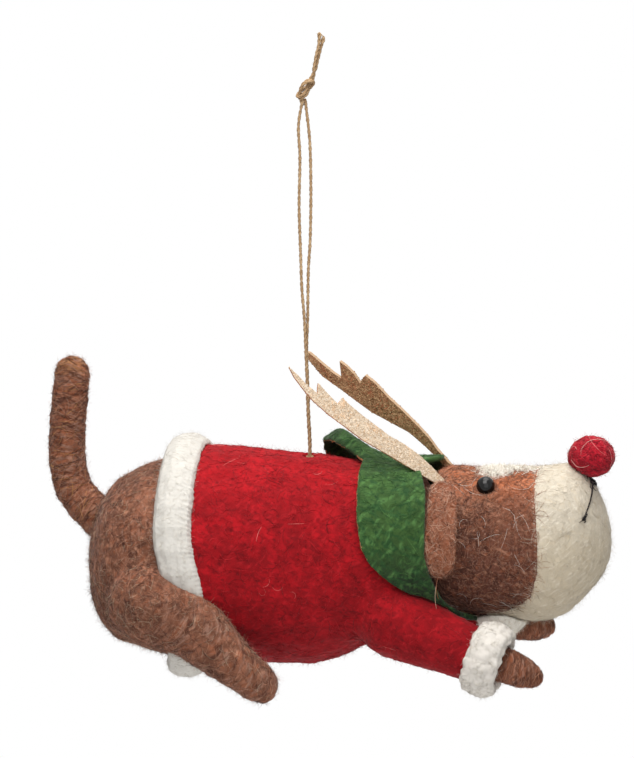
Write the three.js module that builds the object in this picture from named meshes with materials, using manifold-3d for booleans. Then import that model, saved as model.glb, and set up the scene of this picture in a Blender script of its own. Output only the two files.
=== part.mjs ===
// A needle-felted dog ornament in a red coat with a white hem and cuffs, a green collar, glitter antlers
// and a red wool nose. It hangs from a knotted loop of twine that is sewn into its back.
// Millimetres, +Z up, the nose towards +X. The origin is where the loop hangs, just under its knot.

import * as THREE from "three";
import { mergeVertices } from "three/addons/utils/BufferGeometryUtils.js";
import Module from "manifold-3d";

const wasm = await Module();
wasm.setup();

// Clearances and overruns
const SEAT_GAP = 0.3; // between pieces that are felted, glued or sewn to each other
const RUNNING_GAP = 0.8; // where the twine bends against its knot and against its sewn stitch
const CUT_OVERRUN = 4; // how far a cutting solid runs past what it cuts

// Twine
const TWINE_DIAMETER = 0.85;
const TWINE_DROP = 92.2; // from under the knot down to the back of the coat
const TWINE_LEAN = 1.7; // the sewn point lies this far ahead of the knot
const TWINE_PAIR_HALF = 0.6; // each strand of the closed pair stands this far from the middle
const KNOT_LENGTH = 7.2;
const KNOT_WIDTH = 4.4;
const STITCH_LENGTH = 11;
const STITCH_WIDTH = 3;

// Body
const TORSO_LENGTH = 91;
const TORSO_HEIGHT = 52.8;
const TORSO_WIDTH = 49.6;
const COAT_THICKNESS = 2;
const COAT_LENGTH = 60.6;
const HEM_WIDTH = 10.4;
const HEM_DEPTH = 7.4;
const HEM_SWEEP = 7; // the thighs press the hem forwards
const HEM_THINNING = 0.9; // and flatten it
const HEM_PRESS_START = 0.3; // from this share of its half height above its middle

// Head
const HEAD_LENGTH = 48.4;
const HEAD_HEIGHT = 39.6;
const HEAD_WIDTH = 33;
const MUZZLE_PROUD = 0.4; // the white wool stands this far over the brown
const BLAZE_THICKNESS = 1.6;
const BLAZE_WIDTH = 6.5;
const THROAT_LENGTH = 14;
const THROAT_HEIGHT = 12.5;
const THROAT_WIDTH = 15;
const NOSE_LENGTH = 12.2;
const NOSE_HEIGHT = 10.8;
const EYE_DIAMETER = 4.9;
const EYE_PROUD = 0.1; // the bead's centre stands this far off the wool
const MOUTH_THREAD = 0.7;
const EAR_LENGTH = 27;
const EAR_WIDTH = 8.6;
const EAR_THICKNESS = 3;
const ANTLER_LENGTH = 49;
const ANTLER_WIDTH = 8;
const ANTLER_THICKNESS = 0.9;
const ANTLER_SLOT_DEPTH = 5;

// Collar
const COLLAR_THICKNESS = 1.3;
const COLLAR_LIFT = 6.2; // how far the loose lobe stands off the coat

// Limbs
const TAIL_LENGTH = 53;
const TAIL_DIAMETER = 9.4;
const HIND_LEG_LENGTH = 46;
const HIND_LEG_DIAMETER = 22.6;
const SLEEVE_LENGTH = 36.5;
const SLEEVE_DIAMETER = 20.5;
const FORELEG_LENGTH = 47;
const FORELEG_DIAMETER = 9.2;
const CUFF_DIAMETER = 20.4;
const CUFF_WIDTH = 9.6;
const WIRE_DIAMETER = 1;

// Mesh counts
const TORSO_STEPS = 22;
const TORSO_SIDES = 24;
const HEAD_STEPS = 16;
const LIMB_STEPS = 16;
const LIMB_SIDES = 14;
const TWINE_SIDES = 8;
const BAND_TURNS = 32;
const BAND_SIDES = 10;
const BALL_STEPS = 12;
const BALL_SIDES = 16;
const SLIM_STEPS = 12;
const SLIM_SIDES = 12;
const WIRE_SIDES = 6;
const WIRE_STEPS = 10;
const EYE_TURNS = 14;
const EYE_RINGS = 9;
const MOUTH_STEPS = 6;
const COLLAR_TURNS = 40;
const COLLAR_STEPS = 10;
const LOOP_STEPS = 26;
const NECK_STEPS = 10;
const END_STEPS = 4;
const MERGE_DISTANCE = 1e-5;

const AXIS_X = new THREE.Vector3(1, 0, 0);
const AXIS_Y = new THREE.Vector3(0, 1, 0);
const AXIS_Z = new THREE.Vector3(0, 0, 1);

// Colours and finishes
const FINISH = {
  twine: { color: 0x967d5f, roughness: 0.9, metalness: 0 },
  brown: { color: 0x825a46, roughness: 0.95, metalness: 0 },
  red: { color: 0xbe1e26, roughness: 0.95, metalness: 0 },
  white: { color: 0xe4e0d7, roughness: 0.95, metalness: 0 },
  cream: { color: 0xded6c6, roughness: 0.95, metalness: 0 },
  green: { color: 0x3c6e32, roughness: 0.95, metalness: 0 },
  noseRed: { color: 0xc3232d, roughness: 0.95, metalness: 0 },
  bead: { color: 0x0a0a0a, roughness: 0.08, metalness: 0 },
  thread: { color: 0x1c1a1a, roughness: 0.8, metalness: 0 },
  glitter: { color: 0xc3a580, roughness: 0.45, metalness: 0.2 },
  wire: { color: 0x8c8c8c, roughness: 0.4, metalness: 0.9 },
};

// Closed meshes as solids, for the joins and cuts between neighbours
function solidOf(geometry) {
  const bare = geometry.clone();
  bare.deleteAttribute("normal");
  bare.deleteAttribute("uv");
  const merged = mergeVertices(bare, MERGE_DISTANCE);
  return new wasm.Manifold(
    new wasm.Mesh({
      numProp: 3,
      vertProperties: new Float32Array(merged.attributes.position.array),
      triVerts: new Uint32Array(merged.index.array),
    }),
  );
}

function geometryOf(solid) {
  const mesh = solid.getMesh();
  const geometry = new THREE.BufferGeometry();
  const places = new Float32Array((mesh.vertProperties.length / mesh.numProp) * 3);
  for (let i = 0; i < places.length / 3; i++) {
    for (let axis = 0; axis < 3; axis++) places[3 * i + axis] = mesh.vertProperties[mesh.numProp * i + axis];
  }
  geometry.setAttribute("position", new THREE.BufferAttribute(places, 3));
  geometry.setIndex([...mesh.triVerts]);
  geometry.computeVertexNormals();
  return geometry;
}

// The one big piece that is left of a cut solid, without the crumbs
function largest(solid) {
  const pieces = solid.decompose();
  return pieces.reduce((best, piece) => (piece.volume() > best.volume() ? piece : best));
}

function cut(solid, ...tools) {
  return largest(tools.reduce((rest, tool) => rest.subtract(tool), solid));
}

function piece(name, finish, shape) {
  const geometry = shape instanceof THREE.BufferGeometry ? shape : geometryOf(shape);
  const mesh = new THREE.Mesh(geometry, new THREE.MeshStandardMaterial(FINISH[finish]));
  mesh.name = name;
  return mesh;
}

// A smooth value read from one column of a table whose first column is the share along
function follow(shares, along, column) {
  const last = shares.length - 1;
  let right = 1;
  while (right < last && shares[right][0] < along) right += 1;
  const left = right - 1;
  const slope = (i) => {
    const before = shares[Math.max(i - 1, 0)];
    const after = shares[Math.min(i + 1, last)];
    return (after[column] - before[column]) / (after[0] - before[0]);
  };
  const span = shares[right][0] - shares[left][0];
  const t = Math.min(Math.max((along - shares[left][0]) / span, 0), 1);
  const start = shares[left][column];
  const end = shares[right][column];
  const bend = (t - t * t) * (1 - t) * span * slope(left) - (t - t * t) * t * span * slope(right);
  return start + (end - start) * t * t * (3 - 2 * t) + bend;
}

// A closed surface through rings of points, with a pole at each end
function skin(startPole, rings, endPole) {
  const sides = rings[0].length;
  const points = [startPole, ...rings.flat(), endPole];
  const at = (ring, side) => 1 + ring * sides + (side % sides);
  const faces = [];
  for (let side = 0; side < sides; side++) {
    faces.push(0, at(0, side + 1), at(0, side));
    for (let ring = 0; ring < rings.length - 1; ring++) {
      const [a, b] = [at(ring, side), at(ring, side + 1)];
      const [c, d] = [at(ring + 1, side), at(ring + 1, side + 1)];
      faces.push(a, b, d, a, d, c);
    }
    faces.push(points.length - 1, at(rings.length - 1, side), at(rings.length - 1, side + 1));
  }
  const geometry = new THREE.BufferGeometry().setFromPoints(points);
  geometry.setIndex(faces);
  geometry.computeVertexNormals();
  return geometry;
}

// A ring-shaped surface through loops of points: the loops go round the hole and close on the first
function ringSkin(loops) {
  const sides = loops[0].length;
  const at = (loop, side) => (loop % loops.length) * sides + (side % sides);
  const faces = [];
  for (let loop = 0; loop < loops.length; loop++) {
    for (let side = 0; side < sides; side++) {
      const [a, b] = [at(loop, side), at(loop, side + 1)];
      const [c, d] = [at(loop + 1, side), at(loop + 1, side + 1)];
      faces.push(a, d, b, a, c, d);
    }
  }
  const geometry = new THREE.BufferGeometry().setFromPoints(loops.flat());
  geometry.setIndex(faces);
  geometry.computeVertexNormals();
  return geometry;
}

// A felted form that swells and tapers along a line. Each row of shares holds the share along, the shares
// of the width and the height there, and how far the middle rises as a share of the height.
class Form {
  constructor(values) {
    Object.assign(this, { sides: LIMB_SIDES, steps: LIMB_STEPS, upright: false }, values);
  }

  rounding(along) {
    const cap = (share) => (share < 1 ? Math.sqrt(Math.max(1 - (1 - share) ** 2, 0)) : 1);
    return cap(along / this.startRoundShare) * cap((1 - along) / this.endRoundShare);
  }

  section(along) {
    const tangent = this.upright ? AXIS_X.clone() : this.line.getTangentAt(along);
    const side = this.across.clone().addScaledVector(tangent, -this.across.dot(tangent)).normalize();
    const up = new THREE.Vector3().crossVectors(tangent, side);
    const round = this.rounding(along);
    const middle = this.line.getPointAt(along);
    middle.addScaledVector(up, this.high * follow(this.shares, along, 3));
    const halfWide = (this.wide / 2) * follow(this.shares, along, 1) * round;
    const halfHigh = (this.high / 2) * follow(this.shares, along, 2) * round;
    return { middle, tangent, side, up, halfWide, halfHigh };
  }

  // The point at a share along and a turn round the form, stood off it by a distance
  point(along, turn, standOff = 0) {
    const nudge = 1 / (this.steps * this.steps);
    const here = this.section(along);
    const before = this.section(Math.max(along - nudge, 0));
    const after = this.section(Math.min(along + nudge, 1));
    const run = after.middle.clone().sub(before.middle).dot(here.tangent);
    const growth = after.halfHigh - before.halfHigh;
    const slant = Math.hypot(run, growth);
    const out = (standOff * run) / slant;
    return here.middle
      .clone()
      .addScaledVector(here.tangent, (-standOff * growth) / slant)
      .addScaledVector(here.side, (here.halfWide + out) * Math.cos(turn))
      .addScaledVector(here.up, (here.halfHigh + out) * Math.sin(turn));
  }

  geometry(standOff = 0) {
    const rings = [];
    for (let step = 1; step < this.steps; step++) {
      const along = (1 - Math.cos((Math.PI * step) / this.steps)) / 2;
      const ring = [];
      for (let side = 0; side < this.sides; side++) {
        ring.push(this.point(along, (2 * Math.PI * side) / this.sides, standOff));
      }
      rings.push(ring);
    }
    const [start, end] = [this.section(0), this.section(1)];
    return skin(
      start.middle.addScaledVector(start.tangent, -standOff),
      rings,
      end.middle.addScaledVector(end.tangent, standOff),
    );
  }

  solid(standOff = 0) {
    return solidOf(this.geometry(standOff));
  }
}

// A round band bent into a ring: where it stands, its ring's half sizes and its section's half sizes. Where
// something presses on it, it moves forwards and grows thin.
function band({ centre, along, across, ringWide, ringHigh, halfLong, halfDeep, clearance, pressed }) {
  const up = new THREE.Vector3().crossVectors(along, across).normalize();
  const loops = [];
  for (let turn = 0; turn < BAND_TURNS; turn++) {
    const angle = (2 * Math.PI * turn) / BAND_TURNS;
    const radial = across.clone().multiplyScalar(Math.cos(angle)).addScaledVector(up, Math.sin(angle));
    const press = pressed(angle);
    const deep = halfDeep * (1 - HEM_THINNING * press) + clearance;
    const middle = centre
      .clone()
      .addScaledVector(across, ringWide * Math.cos(angle))
      .addScaledVector(up, ringHigh * Math.sin(angle))
      .addScaledVector(along, HEM_SWEEP * press);
    const loop = [];
    for (let side = 0; side < BAND_SIDES; side++) {
      const bend = (-2 * Math.PI * side) / BAND_SIDES;
      loop.push(
        middle
          .clone()
          .addScaledVector(along, (halfLong + clearance) * Math.cos(bend))
          .addScaledVector(radial, deep * Math.sin(bend)),
      );
    }
    loops.push(loop);
  }
  return solidOf(ringSkin(loops));
}

function circleShape(radius) {
  return new THREE.Shape().absarc(0, 0, radius, 0, 2 * Math.PI, false);
}

// A round tube along a stretch of a line
function tube(line, diameter, steps, fromShare = 0, toShare = 1, sides = TWINE_SIDES) {
  const points = [];
  for (let step = 0; step <= steps; step++) {
    points.push(line.getPointAt(fromShare + ((toShare - fromShare) * step) / steps));
  }
  return new THREE.ExtrudeGeometry(circleShape(diameter / 2), {
    steps,
    curveSegments: sides / 2,
    extrudePath: new THREE.CatmullRomCurve3(points),
  });
}

function slab(low, high) {
  const size = high.clone().sub(low);
  const geometry = new THREE.BoxGeometry(size.x, size.y, size.z);
  geometry.translate((low.x + high.x) / 2, (low.y + high.y) / 2, (low.z + high.z) / 2);
  return solidOf(geometry);
}

// The torso, measured from the sewn point on its back
const SEWN_ALONG_SHARE = 0.631;
const TORSO_SHARES = [
  [0, 0.93, 0.83, -0.036],
  [0.087, 0.95, 0.815, -0.025],
  [0.14, 1, 0.88, -0.015],
  [0.19, 1.02, 0.94, -0.011],
  [0.27, 1.02, 0.985, -0.006],
  [0.35, 1, 1, 0.004],
  [0.46, 0.95, 0.98, 0.005],
  [0.58, 0.9, 0.958, 0.001],
  [0.66, 0.86, 0.95, -0.003],
  [0.78, 0.78, 0.837, 0.027],
  [0.89, 0.68, 0.73, 0.076],
  [1, 0.58, 0.6, 0.12],
];
const torsoRear = -SEWN_ALONG_SHARE * TORSO_LENGTH;
const torsoFront = torsoRear + TORSO_LENGTH;
const sewnHalfHigh = (TORSO_HEIGHT / 2) * follow(TORSO_SHARES, SEWN_ALONG_SHARE, 2);
const sewnRise = TORSO_HEIGHT * follow(TORSO_SHARES, SEWN_ALONG_SHARE, 3);
const torsoAxis = -(sewnHalfHigh + sewnRise + SEAT_GAP + COAT_THICKNESS);
const torso = new Form({
  line: new THREE.LineCurve3(
    new THREE.Vector3(torsoRear, 0, torsoAxis),
    new THREE.Vector3(torsoFront, 0, torsoAxis),
  ),
  across: AXIS_Y,
  shares: TORSO_SHARES,
  wide: TORSO_WIDTH,
  high: TORSO_HEIGHT,
  startRoundShare: 0.11,
  endRoundShare: 0.06,
  steps: TORSO_STEPS,
  sides: TORSO_SIDES,
  upright: true,
});

// A place given in shares of the torso: along its length, out of its half width and up its half height
function onTorso([alongShare, sideShare, upShare]) {
  return new THREE.Vector3(
    torsoRear + alongShare * TORSO_LENGTH,
    (sideShare * TORSO_WIDTH) / 2,
    torsoAxis + (upShare * TORSO_HEIGHT) / 2,
  );
}

// A line that starts at a place and goes on by shares of a length
function lineFrom(start, length, stepShares, mirror = 1) {
  const points = stepShares.map(([x, y, z]) =>
    start.clone().add(new THREE.Vector3(x, y * mirror, z).multiplyScalar(length)),
  );
  return new THREE.CatmullRomCurve3([start.clone(), ...points], false, "centripetal");
}

// Coat: a felted shell over the torso, open behind and in front
const COAT_FRONT_SHARE = 0.93;
const coatFront = torsoRear + COAT_FRONT_SHARE * TORSO_LENGTH;
const coatRear = coatFront - COAT_LENGTH;
const coatOuter = SEAT_GAP + COAT_THICKNESS;
const coatSpan = () =>
  slab(
    new THREE.Vector3(coatRear, -TORSO_WIDTH, torsoAxis - TORSO_HEIGHT),
    new THREE.Vector3(coatFront, TORSO_WIDTH, torsoAxis + TORSO_HEIGHT),
  );

// Tail: a wrapped wire that leaves the top of the rump and bends upwards
const TAIL_ROOT_SHARES = [0.07, 0, 0.2];
const TAIL_LINE_SHARES = [
  [-0.097, 0, 0.085],
  [-0.2, 0, 0.19],
  [-0.243, 0, 0.33],
  [-0.245, 0, 0.5],
  [-0.232, 0, 0.66],
  [-0.212, 0, 0.87],
];
const tail = new Form({
  line: lineFrom(onTorso(TAIL_ROOT_SHARES), TAIL_LENGTH, TAIL_LINE_SHARES),
  across: AXIS_Y,
  shares: [
    [0, 1.2, 1.2, 0],
    [0.2, 1.06, 1.06, 0],
    [0.5, 1, 1, 0],
    [0.9, 0.95, 0.95, 0],
    [1, 0.9, 0.9, 0],
  ],
  wide: TAIL_DIAMETER,
  high: TAIL_DIAMETER,
  startRoundShare: 0.04,
  endRoundShare: 0.07,
});

// Hind legs: from the hips forwards and down, outside the hem
const HIND_ROOT_SHARES = [0.16, 0.6, -0.2];
const NEAR_HIND_LINE_SHARES = [
  [0.083, 0.15, -0.07],
  [0.326, 0.235, -0.178],
  [0.526, 0.262, -0.348],
  [0.733, 0.23, -0.52],
  [0.828, 0.215, -0.568],
];
const FAR_HIND_LINE_SHARES = [
  [0.083, 0.15, -0.07],
  [0.33, 0.23, -0.17],
  [0.54, 0.25, -0.3],
  [0.75, 0.22, -0.43],
  [0.84, 0.205, -0.46],
];
function hindLeg(mirror, lineShares) {
  const root = onTorso(HIND_ROOT_SHARES);
  root.y *= mirror;
  return new Form({
    line: lineFrom(root, HIND_LEG_LENGTH, lineShares, mirror),
    across: AXIS_Y,
    shares: [
      [0, 0.95, 1.02, 0],
      [0.2, 1, 1.04, 0],
      [0.4, 0.86, 0.82, 0],
      [0.6, 0.69, 0.63, 0],
      [0.85, 0.5, 0.46, 0],
      [1, 0.45, 0.42, 0],
    ],
    wide: HIND_LEG_DIAMETER,
    high: HIND_LEG_DIAMETER,
    startRoundShare: 0.2,
    endRoundShare: 0.09,
  });
}

// Forelegs, sleeves and cuffs share one line from the shoulder
const FORE_ROOT_SHARES = [0.8, 0.47, -0.38];
const NEAR_REACH_SHARES = [
  [0.22, 0.04, -0.085],
  [0.6, 0.1, -0.232],
  [0.8, 0.11, -0.292],
  [1.03, 0.1, -0.385],
];
const FAR_REACH_SHARES = [
  [0.22, 0.04, -0.04],
  [0.6, 0.1, -0.14],
  [0.8, 0.1, -0.18],
  [1, 0.1, -0.21],
];
function foreLine(mirror, reachShares) {
  const root = onTorso(FORE_ROOT_SHARES);
  root.y *= mirror;
  return lineFrom(root, FORELEG_LENGTH, reachShares, mirror);
}

function foreleg(mirror, reachShares) {
  return new Form({
    line: foreLine(mirror, reachShares),
    across: AXIS_Y,
    shares: [
      [0, 0.95, 0.95, 0],
      [0.6, 0.95, 0.95, 0],
      [0.8, 1, 1, 0],
      [1, 0.72, 0.72, 0],
    ],
    wide: FORELEG_DIAMETER,
    high: FORELEG_DIAMETER,
    startRoundShare: 0.04,
    endRoundShare: 0.12,
    sides: SLIM_SIDES,
  });
}

const SLEEVE_END_SHARE = 0.1;
const NEAR_SLEEVE_SHARE = 1;
const FAR_SLEEVE_SHARE = 0.92; // the far sleeve is pushed up
function sleeve(mirror, reachShares, lengthShare) {
  const whole = foreLine(mirror, reachShares);
  const reach = (SLEEVE_LENGTH * lengthShare) / whole.getLength();
  const points = [0, 0.25, 0.5, 0.75, 1].map((share) => whole.getPointAt(share * reach));
  return new Form({
    line: new THREE.CatmullRomCurve3(points),
    across: AXIS_Y,
    shares: [
      [0, 1.05, 1.06, 0],
      [0.3, 0.98, 0.98, 0],
      [0.6, 0.82, 0.8, 0],
      [1, 0.7, 0.66, 0],
    ],
    wide: SLEEVE_DIAMETER,
    high: SLEEVE_DIAMETER,
    startRoundShare: 0.25,
    endRoundShare: SLEEVE_END_SHARE,
  });
}

// Cuff: a fat bouclé ring over the sleeve's end, as deep as the room round the foreleg
const cuffDeep = (CUFF_DIAMETER - FORELEG_DIAMETER) / 4;
function cuff(sleeveForm, clearance = 0) {
  const end = sleeveForm.section(1);
  return band({
    centre: end.middle,
    along: end.tangent,
    across: end.side,
    ringWide: CUFF_DIAMETER / 2 - cuffDeep,
    ringHigh: CUFF_DIAMETER / 2 - cuffDeep,
    halfLong: CUFF_WIDTH / 2,
    halfDeep: cuffDeep,
    clearance,
    pressed: () => 0,
  });
}

// Hem: a fat bouclé ring round the coat's rear edge
const HEM_SET_SHARE = 0.12; // of its width, by which its middle lies ahead of that edge
function hem(clearance = 0) {
  const middle = coatRear + HEM_WIDTH * HEM_SET_SHARE;
  const section = torso.section((middle - torsoRear) / TORSO_LENGTH);
  return band({
    centre: new THREE.Vector3(middle, 0, section.middle.z),
    along: AXIS_X,
    across: AXIS_Y,
    ringWide: section.halfWide + coatOuter,
    ringHigh: section.halfHigh + coatOuter,
    halfLong: HEM_WIDTH / 2,
    halfDeep: HEM_DEPTH / 2,
    clearance,
    pressed: (angle) => Math.max(HEM_PRESS_START - Math.sin(angle), 0) * Math.cos(angle) ** 2,
  });
}

// Head: an egg whose front swells into the muzzle
const HEAD_OVERLAP_SHARE = 0.068; // of its length lies behind the torso's front
const HEAD_DROP_SHARE = 0.02; // its axis lies below the axis of the collar's ring
const HEAD_SHARES = [
  [0, 0.88, 0.9, 0.03],
  [0.08, 0.93, 0.925, 0.03],
  [0.17, 0.975, 0.95, 0.022],
  [0.3, 1, 0.97, 0],
  [0.5, 1, 0.99, 0],
  [0.65, 0.97, 1.005, -0.006],
  [0.78, 0.93, 1, 0.043],
  [0.89, 0.87, 0.945, 0.06],
  [1, 0.79, 0.84, 0.012],
];
const headRear = torsoFront - HEAD_OVERLAP_SHARE * HEAD_LENGTH;
const headAxis = torsoAxis + TORSO_HEIGHT * follow(TORSO_SHARES, 1, 3) - HEAD_DROP_SHARE * HEAD_HEIGHT;
const head = new Form({
  line: new THREE.LineCurve3(
    new THREE.Vector3(headRear, 0, headAxis),
    new THREE.Vector3(headRear + HEAD_LENGTH, 0, headAxis),
  ),
  across: AXIS_Y,
  shares: HEAD_SHARES,
  wide: HEAD_WIDTH,
  high: HEAD_HEIGHT,
  startRoundShare: 0.13,
  endRoundShare: 0.3,
  steps: HEAD_STEPS,
  sides: TORSO_SIDES,
  upright: true,
});

// A turn round the head counts from its side towards the dog's left; the top is a quarter turn on
const TOP_TURN = Math.PI / 2;

// Where the white wool meets the brown on the side of the head: down, round and back under the chin. Each
// row is a share of the head's length from its rear and a share of its height above its axis.
const MUZZLE_EDGE_SHARES = [
  [0.615, 0.7],
  [0.615, 0.45],
  [0.622, 0.36],
  [0.638, 0.24],
  [0.655, 0.04],
  [0.654, -0.05],
  [0.648, -0.14],
  [0.631, -0.23],
  [0.607, -0.31],
  [0.553, -0.36],
  [0.49, -0.41],
  [0.425, -0.435],
  [0.35, -0.445],
  [0.35, -0.7],
  [1.1, -0.7],
  [1.1, 0.7],
];
const BLAZE_START_SHARE = 0.3;
const muzzleStart = headRear + MUZZLE_EDGE_SHARES[0][0] * HEAD_LENGTH;
const blazeStart = headRear + BLAZE_START_SHARE * HEAD_LENGTH;
const blazeFront = muzzleStart - SEAT_GAP;

// All that lies ahead of that line and under it, moved forwards and down by a clearance
function whiteSide(clearance = 0) {
  const corners = MUZZLE_EDGE_SHARES.map(([along, up]) => {
    const rise = headAxis + up * HEAD_HEIGHT - clearance;
    return new THREE.Vector2(headRear + along * HEAD_LENGTH + clearance, rise);
  });
  const depth = 2 * HEAD_WIDTH;
  const geometry = new THREE.ExtrudeGeometry(new THREE.Shape(corners), { depth, bevelEnabled: false });
  geometry.rotateX(Math.PI / 2);
  geometry.translate(0, HEAD_WIDTH, 0);
  return solidOf(geometry);
}

// The forehead strip that the blaze fills, widened by a clearance
function blazeStrip(clearance) {
  return slab(
    new THREE.Vector3(blazeStart - clearance, -BLAZE_WIDTH / 2 - clearance, headAxis),
    new THREE.Vector3(blazeFront + clearance, BLAZE_WIDTH / 2 + clearance, headAxis + HEAD_HEIGHT),
  );
}

// Throat: the white wool under the chin
const THROAT_ALONG_SHARE = 0.42;
const THROAT_DROP_SHARE = 0.47;
const throatMiddle = new THREE.Vector3(
  headRear + THROAT_ALONG_SHARE * HEAD_LENGTH,
  0,
  headAxis - THROAT_DROP_SHARE * HEAD_HEIGHT,
);
function ball(middle, long, wide, high) {
  const half = new THREE.Vector3(long / 2, 0, 0);
  return new Form({
    line: new THREE.LineCurve3(middle.clone().sub(half), middle.clone().add(half)),
    across: AXIS_Y,
    shares: [
      [0, 1, 1, 0],
      [1, 1, 1, 0],
    ],
    wide,
    high,
    startRoundShare: 0.5,
    endRoundShare: 0.5,
    steps: BALL_STEPS,
    sides: BALL_SIDES,
  });
}
const throat = ball(throatMiddle, THROAT_LENGTH, THROAT_WIDTH, THROAT_HEIGHT);

// Nose: a wool ball on the top of the muzzle's front
const NOSE_ALONG_SHARE = 0.9;
const NOSE_PERCH_SHARE = 0.09; // of the ball's height, by which its foot clears the wool under it
const noseSeat = head.point(NOSE_ALONG_SHARE, TOP_TURN);
const nose = ball(
  noseSeat.add(new THREE.Vector3(0, 0, (0.5 + NOSE_PERCH_SHARE) * NOSE_HEIGHT + MUZZLE_PROUD)),
  NOSE_LENGTH,
  NOSE_LENGTH,
  NOSE_HEIGHT,
);

// Eyes: glossy beads set high on the head
const EYE_ALONG_SHARE = 0.356;
const EYE_TURN = Math.PI * 0.314;
function eye(mirror, clearance = 0) {
  const turn = mirror > 0 ? EYE_TURN : Math.PI - EYE_TURN;
  const middle = head.point(EYE_ALONG_SHARE, turn, EYE_PROUD);
  const geometry = new THREE.SphereGeometry(EYE_DIAMETER / 2 + clearance, EYE_TURNS, EYE_RINGS);
  geometry.translate(middle.x, middle.y, middle.z);
  return solidOf(geometry);
}

// Mouth: black thread from under the nose that parts into two curves over the muzzle
const MOUTH_STEM_SHARES = [
  [0.885, 0],
  [0.897, 0],
  [0.91, 0],
];
const MOUTH_CURVE_SHARES = [
  [0.91, 0],
  [0.91, 0.14],
  [0.902, 0.27],
  [0.88, 0.38],
];
function mouthStrand(shares, mirror) {
  const lift = MUZZLE_PROUD + SEAT_GAP + MOUTH_THREAD / 2;
  const points = shares.map(([along, turnShare]) =>
    head.point(along, TOP_TURN - mirror * turnShare * Math.PI, lift),
  );
  return solidOf(tube(new THREE.CatmullRomCurve3(points), MOUTH_THREAD, MOUTH_STEPS));
}

// Ears: flaps that hang from the back of the head
const EAR_ALONG_SHARE = 0.12;
const EAR_ROOT_TURN = Math.PI * 0.32;
const EAR_LINE_SHARES = [
  [0.03, 0.22, -0.175],
  [0.03, 0.35, -0.4],
  [0.03, 0.415, -0.64],
  [0.03, 0.396, -0.87],
];
function ear(mirror) {
  const root = head.point(EAR_ALONG_SHARE, EAR_ROOT_TURN);
  root.y *= mirror;
  return new Form({
    line: lineFrom(root, EAR_LENGTH, EAR_LINE_SHARES, mirror),
    across: AXIS_X,
    shares: [
      [0, 0.75, 0.9, 0],
      [0.35, 0.95, 1, 0],
      [0.7, 1.02, 1, 0],
      [1, 0.86, 0.9, 0],
    ],
    wide: EAR_WIDTH,
    high: EAR_THICKNESS,
    startRoundShare: 0.08,
    endRoundShare: 0.14,
    steps: SLIM_STEPS,
    sides: BAND_SIDES,
  });
}

// Antlers: flat glitter sheet with tines on the upper edge, swept back from slots in the head.
// Each row is a share of the length from the base and a share of the width above the middle line.
const NEAR_ANTLER_SHARES = [
  [0, -0.11],
  [0.057, -0.15],
  [0.191, -0.24],
  [0.325, -0.33],
  [0.452, -0.43],
  [0.567, -0.43],
  [0.675, -0.44],
  [0.791, -0.38],
  [0.851, -0.3],
  [0.941, -0.14],
  [0.995, 0.02],
  [0.928, -0.01],
  [0.877, -0.08],
  [0.839, -0.09],
  [0.791, -0.1],
  [0.809, 0.05],
  [0.821, 0.19],
  [0.791, 0.15],
  [0.737, 0.09],
  [0.672, 0.03],
  [0.67, 0.29],
  [0.633, 0.25],
  [0.535, 0.22],
  [0.448, 0.22],
  [0.353, 0.22],
  [0.255, 0.3],
  [0.161, 0.31],
  [0.068, 0.25],
  [0, 0.17],
];
const FAR_ANTLER_SHARES = [
  [0, 0.2],
  [0.08, 0.28],
  [0.173, 0.33],
  [0.282, 0.34],
  [0.413, 0.13],
  [0.513, -0.03],
  [0.621, -0.09],
  [0.718, -0.13],
  [0.84, -0.21],
  [0.943, -0.07],
  [0.999, 0.09],
  [0.967, 0.19],
  [0.875, 0.18],
  [0.8, 0.19],
  [0.747, 0.24],
  [0.807, 0.74],
  [0.761, 0.76],
  [0.704, 0.72],
  [0.645, 0.58],
  [0.653, 0.76],
  [0.65, 0.98],
  [0.586, 1],
  [0.485, 0.9],
  [0.382, 0.86],
  [0.261, 0.78],
  [0.176, 0.69],
  [0.11, 0.55],
  [0, 0.42],
];
const ANTLER_ALONG_SHARE = 0.09;
const ANTLER_TURN = Math.PI * 0.345;
const ANTLER_SWEEP_SHARES = [-0.782, 0.12, 0.606]; // how far back, out and up per length
const ANTLER_ROLL = -Math.PI * 0.12; // their upper edges lean towards each other
function antler(mirror, outlineShares, clearance = 0) {
  const root = head.point(ANTLER_ALONG_SHARE, ANTLER_TURN);
  root.y *= mirror;
  const sweep = new THREE.Vector3(...ANTLER_SWEEP_SHARES).normalize();
  sweep.y *= mirror;
  const rise = AXIS_Z.clone().addScaledVector(sweep, -sweep.z).normalize();
  rise.applyAxisAngle(sweep, ANTLER_ROLL * mirror);
  const facing = new THREE.Vector3().crossVectors(sweep, rise);
  const sheetSize = new THREE.Vector2(ANTLER_LENGTH, ANTLER_WIDTH);
  const corners = outlineShares.map((row) => new THREE.Vector2(...row).multiply(sheetSize));
  const low = corners[0].clone();
  const high = corners[corners.length - 1].clone();
  corners.unshift(new THREE.Vector2(-ANTLER_SLOT_DEPTH, low.y));
  corners.push(new THREE.Vector2(-ANTLER_SLOT_DEPTH, high.y));
  const shape = new THREE.Shape(clearance > 0 ? slotOutline(low, high, clearance) : corners);
  const depth = ANTLER_THICKNESS + 2 * clearance;
  const geometry = new THREE.ExtrudeGeometry(shape, { depth, bevelEnabled: false });
  geometry.translate(0, 0, -depth / 2);
  geometry.applyMatrix4(new THREE.Matrix4().makeBasis(sweep, rise, facing));
  geometry.translate(root.x, root.y, root.z);
  return solidOf(geometry);
}

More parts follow.
